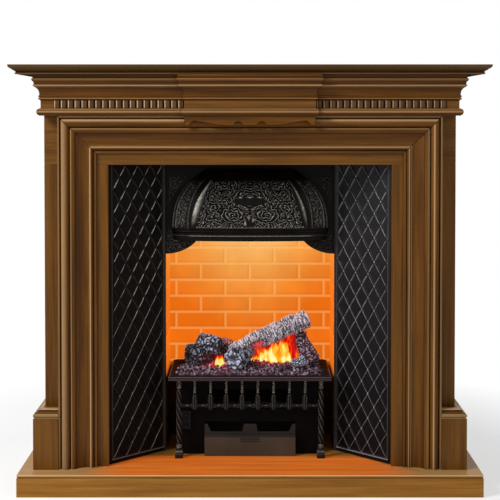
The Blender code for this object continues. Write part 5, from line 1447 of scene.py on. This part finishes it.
def heatAt(points):
    # how strongly the fire's red light falls on a place, two smooth steps of its distance to the hot
    # spots: beside the two flames, and in the crack between the logs that cross
    world = points + np.array([0, halfDepth, 0])
    main, small, crack = (np.linalg.norm((world - np.array(centre)) / np.array(half), axis=-1)
                          for centre, half in heatSpots.values())
    return np.maximum(ease(1.15, 0.35, main), 0.8 * ease(1.3, 0.3, small)), ease(1.2, 0.6, crack)


def logPart(start, end, radius, bend, cellLong, cellRound, seed, swell=0.0):
    # a tube of radius R (0.94 + 0.06 sin) along a bowed line, thicker towards its end by the swell. Its
    # skin is raised between the cracks of a cell pattern and sunk in the red crack, and each end is
    # closed by rings whose radius is sin^0.3 of a quarter turn.
    begin, finish = at(*start), at(*end)
    length = np.linalg.norm(finish - begin)
    f = fuel
    rows, rings = int(length / f["logStep"]), f["capRings"]
    cap = np.radians(np.linspace(3, 84, rings))
    share = np.concatenate([np.zeros(rings), np.linspace(0, 1, rows), np.ones(rings)])
    scale = np.concatenate([np.sin(cap) ** 0.3, np.ones(rows), np.sin(cap[::-1]) ** 0.3])
    lean = np.concatenate([-np.cos(cap), np.zeros(rows), np.cos(cap[::-1])]) * radius * f["capBulge"]
    angle = np.linspace(0, 2 * math.pi, f["logAround"], endpoint=False)
    run = (finish - begin) / length
    side = np.cross(run, [0, 0, 1.0])
    side /= np.linalg.norm(side)
    high = np.cross(side, run)
    centre = begin + (finish - begin) * share[:, None] + run * lean[:, None] \
        + np.array([0, 0, bend]) * np.sin(math.pi * share)[:, None]
    ring = side * np.cos(angle)[:, None] + high * np.sin(angle)[:, None]
    body = radius * (0.94 + 0.06 * np.sin(5.0 * share + 900.0 * radius) + swell * (share - 0.5)) * scale
    grid = centre[:, None] + ring[None] * body[:, None, None]
    local = np.stack([(grid - begin) @ run / cellLong, (grid - begin) @ side / cellRound,
                      (grid - begin) @ high / cellRound], -1)
    warped = local + f["cellWarp"] * np.stack([waveField(grid, 0.018, seed + i) for i in range(3)], -1)
    near, second, mark = cellField(warped, seed)
    block = ease(0.0, 0.36, second - near)
    lump = waveField(grid, 0.055, seed + 9) * 0.09 * radius + waveField(grid, 0.006, seed + 5) * 0.0005
    beside, between = heatAt(grid)
    skin = f["barkDepth"] * (block - 0.35) * (0.6 + 0.6 * mark) - f["crackDepth"] * between
    away = ring[None] * scale[:, None, None] ** 3 + run * np.sign(lean)[:, None, None] \
        * (1 - scale[:, None, None] ** 3)
    grid = grid + away * (lump + skin)[..., None]
    ember = beside * (0.06 + 0.80 * ease(0.5, 0.0, block)) + between * (0.6 + 0.4 * ease(0.6, 0.0, block))
    block, mark = block * (1 - 0.8 * between), mark * (1 - 0.6 * between)
    return closedPart(grid, high=block, mark=mark, ember=ember)


def bedHeight(x, depth):
    # the moulded bed crowns in the middle: a product of sines of the places across and back
    f = fuel
    low, high = boxCorners("ember_bed")
    u = np.clip((x - low[0]) / (high[0] - low[0]), 0, 1)
    v = np.clip((depth - halfDepth - low[1]) / (high[1] - low[1]), 0, 1)
    crown = f["bedCrown"] * np.sin(math.pi * u) ** 0.6 * np.sin(math.pi * v) ** 0.6
    lumps = 0.004 * np.sin(7.3 * u * math.pi + 1.7) * np.sin(5.1 * v * math.pi + 0.6)
    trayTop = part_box("basket_tray")[1][2]
    return trayTop + f["bedRise"] * 0.2 + crown + lumps * np.sin(math.pi * u) * np.sin(math.pi * v)


def bedHalf(y):
    # half the width over which coals lie: it narrows towards the back, where the tray's black rim shows
    low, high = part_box("ember_bed")
    return fuel["bedHalf"] - fuel["bedNarrowing"] * ease(low[1], high[1], y)


def makeBed():
    f = fuel
    low, high = boxCorners("ember_bed")
    rng = np.random.default_rng(f["seed"])
    columns, rows = f["bedGrid"]
    x, y = crossed(np.linspace(low[0], high[0], columns), np.linspace(low[1], high[1], rows))
    z = bedHeight(x, y + halfDepth)
    flat = np.stack([x, y, z], -1)
    warp = np.stack([waveField(flat, 0.02, 31 + i) for i in range(3)], -1)
    near, second, mark = cellField(flat / np.array(f["bedCell"]) + 0.3 * warp, 5.0)
    block = ease(0.0, 0.5, second - near)
    fromEdge = np.minimum(np.minimum(x - low[0], high[0] - x), np.minimum(y - low[1], high[1] - y))
    edge = ease(0.0, 0.006, fromEdge)
    lift = (f["bedSkin"] * block * (0.4 + mark) - f["bedDip"] + waveField(flat, 0.005, 8) * 0.0004) * edge
    top = flat + np.array([0, 0, 1.0]) * lift[..., None]
    ember = heatAt(top)[0] * 0.9
    inside = ease(0.0, 0.012, bedHalf(y) - np.abs(x))
    bed = slab(top, (0, 0, -0.006), high=block * 0.75 * inside, mark=mark * inside, ember=ember)
    makePiece("emberBed", [bed], "fuel_bed", emberCoal, ["ember_bed"], 60)
    # loose coals: one small ball of rings and columns, bent by its own waves, for all at once
    count, rows, columns = f["lumps"], f["lumpRows"], f["lumpColumns"]
    u, v = crossed(np.linspace(-1.35, 1.35, rows),
                   np.linspace(0, 2 * math.pi, columns, endpoint=False))
    ball = np.stack([np.cos(u) * np.cos(v), np.cos(u) * np.sin(v), np.sin(u)], -1).reshape(-1, 3)
    size = rng.uniform(0.0021, 0.0052, count)[:, None, None] * rng.uniform(0.7, 1.25, (count, 1, 3))
    turn = rng.uniform(0, 2 * math.pi, count)
    cosine, sine = np.cos(turn), np.sin(turn)
    spin = np.stack([np.stack([cosine, -sine], -1), np.stack([sine, cosine], -1)], -2)
    bent = ball[None] * size * (1 + 0.22 * rng.normal(size=(count, len(ball), 1)))
    bent[..., :2] = np.einsum("nij,nkj->nki", spin, bent[..., :2])
    place = np.column_stack([rng.uniform(-1, 1, count), rng.uniform(low[1] + 0.014, high[1] - 0.006, count),
                             np.zeros(count)])
    place[:, 0] *= bedHalf(place[:, 1])
    place[:, 2] = bedHeight(place[:, 0], place[:, 1] + halfDepth) + 0.0022
    points = bent + place[:, None]
    each = rows * columns
    first = (np.arange(count) * each)[:, None, None]
    quads = (gridFaces(rows, columns, False, True)[None] + first).reshape(-1, 4).tolist()
    rings = np.array([np.arange(columns), np.arange(each - columns, each)])
    caps = (rings[None] + first).reshape(-1, columns).tolist()
    bright, mark = (np.repeat(rng.uniform(0, 1, count) ** power, each)[:, None] for power in (1.4, 1.0))
    coals = {"points": points.reshape(-1, 3), "faces": quads + caps, "high": bright, "mark": mark,
             "ember": (heatAt(points)[0].reshape(-1) * 0.9)[:, None]}
    makePiece("looseCoals", [coals], "fuel_bed", emberCoal, (), 60)


def makeLogs():
    skins = {"log_rear_left": darkLog, "log_diagonal": ashyLog, "log_right": ruddyLog,
             "ashCoveredStub": paleLog, "glowingStub": glowingStub}
    for number, (name, measures) in enumerate(logShapes.items()):
        part = logPart(*measures, 3 + number * 17, fuel["swell"].get(name, 0.0))
        makePiece("charred_" + name, [part], "fuel_bed", skins.get(name, charredLog), [name], 70)
    for name, measures in stubShapes.items():
        makePiece(name, [logPart(*measures)], "fuel_bed", skins[name], (), 70)


makeBed()
makeLogs()


flames = {
    # each film: its depth, then rows of x, foot, top of the yellow core and top of the red fringe
    "main": (0.285, ((-0.014, 0.336, 0.343, 0.355), (0.008, 0.336, 0.350, 0.410),
                     (0.025, 0.336, 0.360, 0.394), (0.040, 0.336, 0.370, 0.388),
                     (0.064, 0.336, 0.384, 0.410), (0.086, 0.338, 0.396, 0.424),
                     (0.104, 0.338, 0.404, 0.436), (0.119, 0.340, 0.400, 0.440),
                     (0.125, 0.340, 0.370, 0.440), (0.134, 0.340, 0.340, 0.438),
                     (0.156, 0.338, 0.338, 0.420))),
    "small": (0.240, ((-0.113, 0.342, 0.347, 0.354), (-0.105, 0.338, 0.359, 0.366),
                      (-0.096, 0.334, 0.363, 0.371), (-0.086, 0.334, 0.360, 0.368),
                      (-0.078, 0.338, 0.348, 0.356))),
}


def flameMaterial():
    # lit vapour: it gives off light only, yellow where "warmth" is high, then orange and red, and
    # thins out to nothing where "fade" is low
    material, add, shader, spot = startMaterial("litFlameFilm")
    material.node_tree.nodes.remove(shader)
    stretched = add("Mapping", {"Scale": (60.0, 60.0, 26.0)}, {"Vector": spot})
    lick = add("TexNoise", {"Scale": 1.0, "Detail": 3.0, "Distortion": 0.6}, {"Vector": stretched})
    noisy = add("MapRange", {1: 0.3, 2: 0.7, 3: -0.34, 4: 0.24}, {0: lick})
    level = add("Math", {"operation": "ADD"}, {0: fieldValue(add, "warmth"), 1: noisy})
    colour = setRamp(add("ValToRGB", None, {0: level}),
                     [(0.05, "8E0A10"), (0.30, "DC1C12"), (0.48, "FA5C08"), (0.66, "FFA018"),
                      (0.86, "FFD24A"), (1.05, "FFF4AA")])
    light = add("Emission", {"Strength": 1.05}, {"Color": colour})
    clear = add("BsdfTransparent")
    mixed = add("MixShader", None, {0: fieldValue(add, "fade"), 1: clear, 2: light})
    feed(material.node_tree.nodes["Material Output"], {0: mixed})
    return material


def makeFlames():
    # a film is two sheets, each bowed forward by a sine and swollen apart, joined round the edge:
    # warmth is above 0.6 up to the core's top and then falls to the tip of the fringe
    film = flameMaterial()
    for name, (depth, table) in flames.items():
        table = np.array(table)
        u, v = crossed(np.linspace(0, 1, 110), np.linspace(0, 1, 56))
        x = table[0, 0] + (table[-1, 0] - table[0, 0]) * u
        foot, core, top = (np.interp(x, table[:, 0], table[:, i]) for i in (1, 2, 3))
        lick = 0.0022 * np.sin(x * 410.0) + 0.0014 * np.sin(x * 930.0 + 1.0)
        top, core = top + lick, core + lick * 1.6
        z = foot + (top - foot) * v
        inside = ease(-0.004, 0.006, core - z)
        warmth = inside * (0.72 + 0.34 * np.clip((core - z) / (core - foot + 0.004), 0, 1) ** 0.6) \
            + (1 - inside) * 0.42 * (1 - 0.6 * (z - core) / (top - core + 0.004))
        warmth = warmth - 0.35 * ease(0.05, 0.0, u) - 0.30 * ease(0.010, 0.0, z - foot)
        fade = ease(0.0, 0.04, u) * ease(1.0, 0.96, u) * (1 - 0.9 * ease(0.90, 1.0, v))
        bow = 0.012 * np.sin(math.pi * u) - 0.008 * v + 0.003 * np.sin(x * 170 + v * 3)
        swell = 0.0060 * np.sqrt(np.sin(math.pi * np.clip(u, 0.002, 0.998))) * np.sqrt(1.001 - v)
        sheets = [np.stack([x, depth - halfDepth - bow + side * swell, z], -1) for side in (-1, 1)]
        both = np.concatenate([sheets[0], sheets[1][::-1]])
        rows, columns = both.shape[:2]
        closing = [[r * columns + c, (r + 1) * columns + c, (rows - 2 - r) * columns + c,
                    (rows - 1 - r) * columns + c] for c in (0, columns - 1) for r in range(rows // 2 - 1)]
        part = gridPart(both, wrapRows=True, extraFaces=closing, fade=np.concatenate([fade, fade[::-1]]),
                        warmth=np.concatenate([warmth, warmth[::-1]]))
        makePiece("flameFilm_" + name, [part], "fuel_bed", film, (), 60).visible_diffuse = False


makeFlames()
print("stage: embers, logs and flames")


# Heater housing, ash pan and controls keep their solids, with their arrises eased

def lampGlass():
    # frosted warm lamp tube, lit
    material, add, shader, spot = startMaterial("litLampTube", roughness=0.3, glow=1.2)
    cloud = add("TexNoise", {"Scale": 30.0}, {"Vector": spot})
    tone = setRamp(add("ValToRGB", None, {0: cloud}), [(0.3, "FFC070"), (0.7, "FFD9A0")])
    feed(shader, {"Base Color": tone, "Emission Color": tone})
    return material


palePlastic = paintedSteel("mistTankPolypropylene", "B9BDBE", "CDD0D0", 0.35, 0.4)
leadPaint = paintedSteel("darkCasingPaint", "1A1715", "24201D", 0.55, 0.2)


def barPart(begin, end, depth, z, proud, half):
    # a level bar of half-round section: (cos a, sin a) scaled, drawn in at both ends as sin u
    inset = 0.0015
    near, far = (inset * (1 - np.cos(np.radians(turn))) for turn in ([8, 35, 65], [65, 35, 8]))
    x = np.concatenate([begin + near, np.linspace(begin + inset, end - inset, 9), end - far])
    scale = np.concatenate([np.sin(np.radians([20, 50, 75])), np.ones(9), np.sin(np.radians([75, 50, 20]))])
    a = np.linspace(0, 2 * math.pi, 16, endpoint=False)
    y = depth - halfDepth + 0.0006 - (proud + 0.0006) * np.clip(np.cos(a), -0.2, 1) * scale[:, None]
    wide = np.broadcast_to(x[:, None], y.shape)
    return closedPart(np.stack([wide, y, z + half * np.sin(a) * scale[:, None]], -1))


def makePanLips():
    low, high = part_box("ash_pan")
    front = low[1] + halfDepth
    parts = [barPart(low[0] + 0.0005, high[0] - 0.0005, front, 0.1302, 0.0022, 0.0020),
             barPart(-0.0290, 0.0280, front, 0.1130, 0.0024, 0.0014)]
    makePiece("ashPanLips", parts, "ash_pan", panSteel, (), 50)


makePanLips()
for nodeName, skin, arrisWidth in (
        ("ash_pan", panSteel, 0.0007), ("heater_housing", darkSteel, 0.0008),
        ("control_panel", blackPlastic, 0.0006), ("power_rocker", blackPlastic, 0.0005),
        ("heat_rocker", blackPlastic, 0.0005), ("flame_knob", blackPlastic, 0.0003),
        ("casing", leadPaint, 0.0), ("glow_lamp", lampGlass(), 0.0), ("cable_gland", blackPlastic, 0.0003),
        ("fan_motor", plainSteel, 0.0004), ("fan_rotor", darkSteel, 0.0),
        ("heating_element", darkSteel, 0.0), ("mist_tank", palePlastic, 0.0015)):
    dressNode(nodeName, skin, arrisWidth)
print("stage: heater, pan and controls dressed")


# Stage: white background, pale floor, a large soft lamp at the upper left and a weaker one at the right

studio = {
    "cameraHeight": 1.121, "cameraDepth": -3.30, "pitch": 1.5, "lens": 81.66, "shiftY": -0.2097,
    "keyAzimuth": -55, "keyElevation": 36, "keyDistance": 4.2, "keySize": 1.5, "keyPower": 170,
    "fillAzimuth": 42, "fillElevation": 24, "fillDistance": 4.4, "fillSize": 2.4, "fillPower": 30,
    "aimHeight": 0.65, "skyStrength": 0.32,
    "floorNear": 0.9, "floorFar": 1.5, "floorWhite": 0.55, "floorHalf": 9,
}


def seenDirectly(add):
    # 1 for the rays that show a thing itself: from the camera, by reflection and through glass
    rays = add("LightPath")
    seen = (rays, "Is Camera Ray")
    for word in ("Is Glossy Ray", "Is Transmission Ray"):
        seen = add("Math", {"operation": "MAXIMUM"}, {0: seen, 1: (rays, word)})
    return seen


def makeStage():
    s = studio
    scene = bpy.context.scene
    camera = bpy.data.objects.new("camera", bpy.data.cameras.new("camera"))
    camera.location = at(0.0, s["cameraDepth"], s["cameraHeight"])
    camera.rotation_euler = (math.radians(90 - s["pitch"]), 0, 0)
    camera.data.lens = s["lens"]
    camera.data.sensor_width = 36
    camera.data.shift_y = s["shiftY"]
    scene.collection.objects.link(camera)
    scene.camera = camera

    world = bpy.data.worlds.new("studioSky")
    scene.world = world
    world.use_nodes = True
    world.node_tree.nodes.clear()
    add = functools.partial(addNode, world.node_tree)
    level = add("MapRange", {3: s["skyStrength"], 4: 1.0}, {0: seenDirectly(add)})
    sky = add("Background", {"Color": (1, 1, 1, 1)}, {"Strength": level})
    add("OutputWorld", None, {0: sky})

    for name, word in (("keyLamp", "key"), ("fillLamp", "fill")):
        lamp = bpy.data.lights.new(name, "AREA")
        lamp.shape = "DISK"
        lamp.size = s[word + "Size"]
        lamp.energy = s[word + "Power"]
        thing = bpy.data.objects.new(name, lamp)
        a, e = math.radians(s[word + "Azimuth"]), math.radians(s[word + "Elevation"])
        away = np.array([math.sin(a) * math.cos(e), -math.cos(a) * math.cos(e), math.sin(e)])
        thing.location = np.array([0, 0, s["aimHeight"]]) + away * s[word + "Distance"]
        turn = thing.location.copy()
        turn.z -= s["aimHeight"]
        thing.rotation_euler = turn.to_track_quat("Z", "Y").to_euler()
        scene.collection.objects.link(thing)

    # pale painted floor that fades, where seen directly, to plain white away from the object
    floor, add, shader, spot = startMaterial("palePaintedFloor", roughness=0.8, specular=0.1)
    mottle = add("TexNoise", {"Scale": 3.0, "Detail": 2.0}, {"Vector": spot})
    tone = setRamp(add("ValToRGB", None, {0: mottle}), [(0.3, "F6F6F6"), (0.7, "FBFBFB")])
    feed(shader, {"Base Color": tone})
    distance = add("VectorMath", {"operation": "LENGTH"}, {0: spot})
    far = add("MapRange", {1: s["floorNear"], 2: s["floorFar"], 3: s["floorWhite"], 4: 1.0},
              {0: (distance, "Value")})
    share = add("Math", {"operation": "MULTIPLY"}, {0: seenDirectly(add), 1: far})
    white = add("Emission", {"Color": (1, 1, 1, 1), "Strength": 1.0})
    mixed = add("MixShader", None, {0: share, 1: shader, 2: white})
    feed(floor.node_tree.nodes["Material Output"], {0: mixed})
    places = np.linspace(-s["floorHalf"], s["floorHalf"], 5)
    x, y = crossed(places, places)
    part = gridPart(np.stack([x, y, np.full_like(x, -0.0005)], -1))
    mesh = bpy.data.meshes.new("studioFloor")
    mesh.from_pydata(part["points"].tolist(), [], part["faces"])
    mesh.materials.append(floor)
    ground = bpy.data.objects.new("studioFloor", mesh)
    scene.collection.objects.link(ground)
    scene.view_settings.view_transform = "Standard"


makeStage()
print("stage: lamps, camera and floor set")
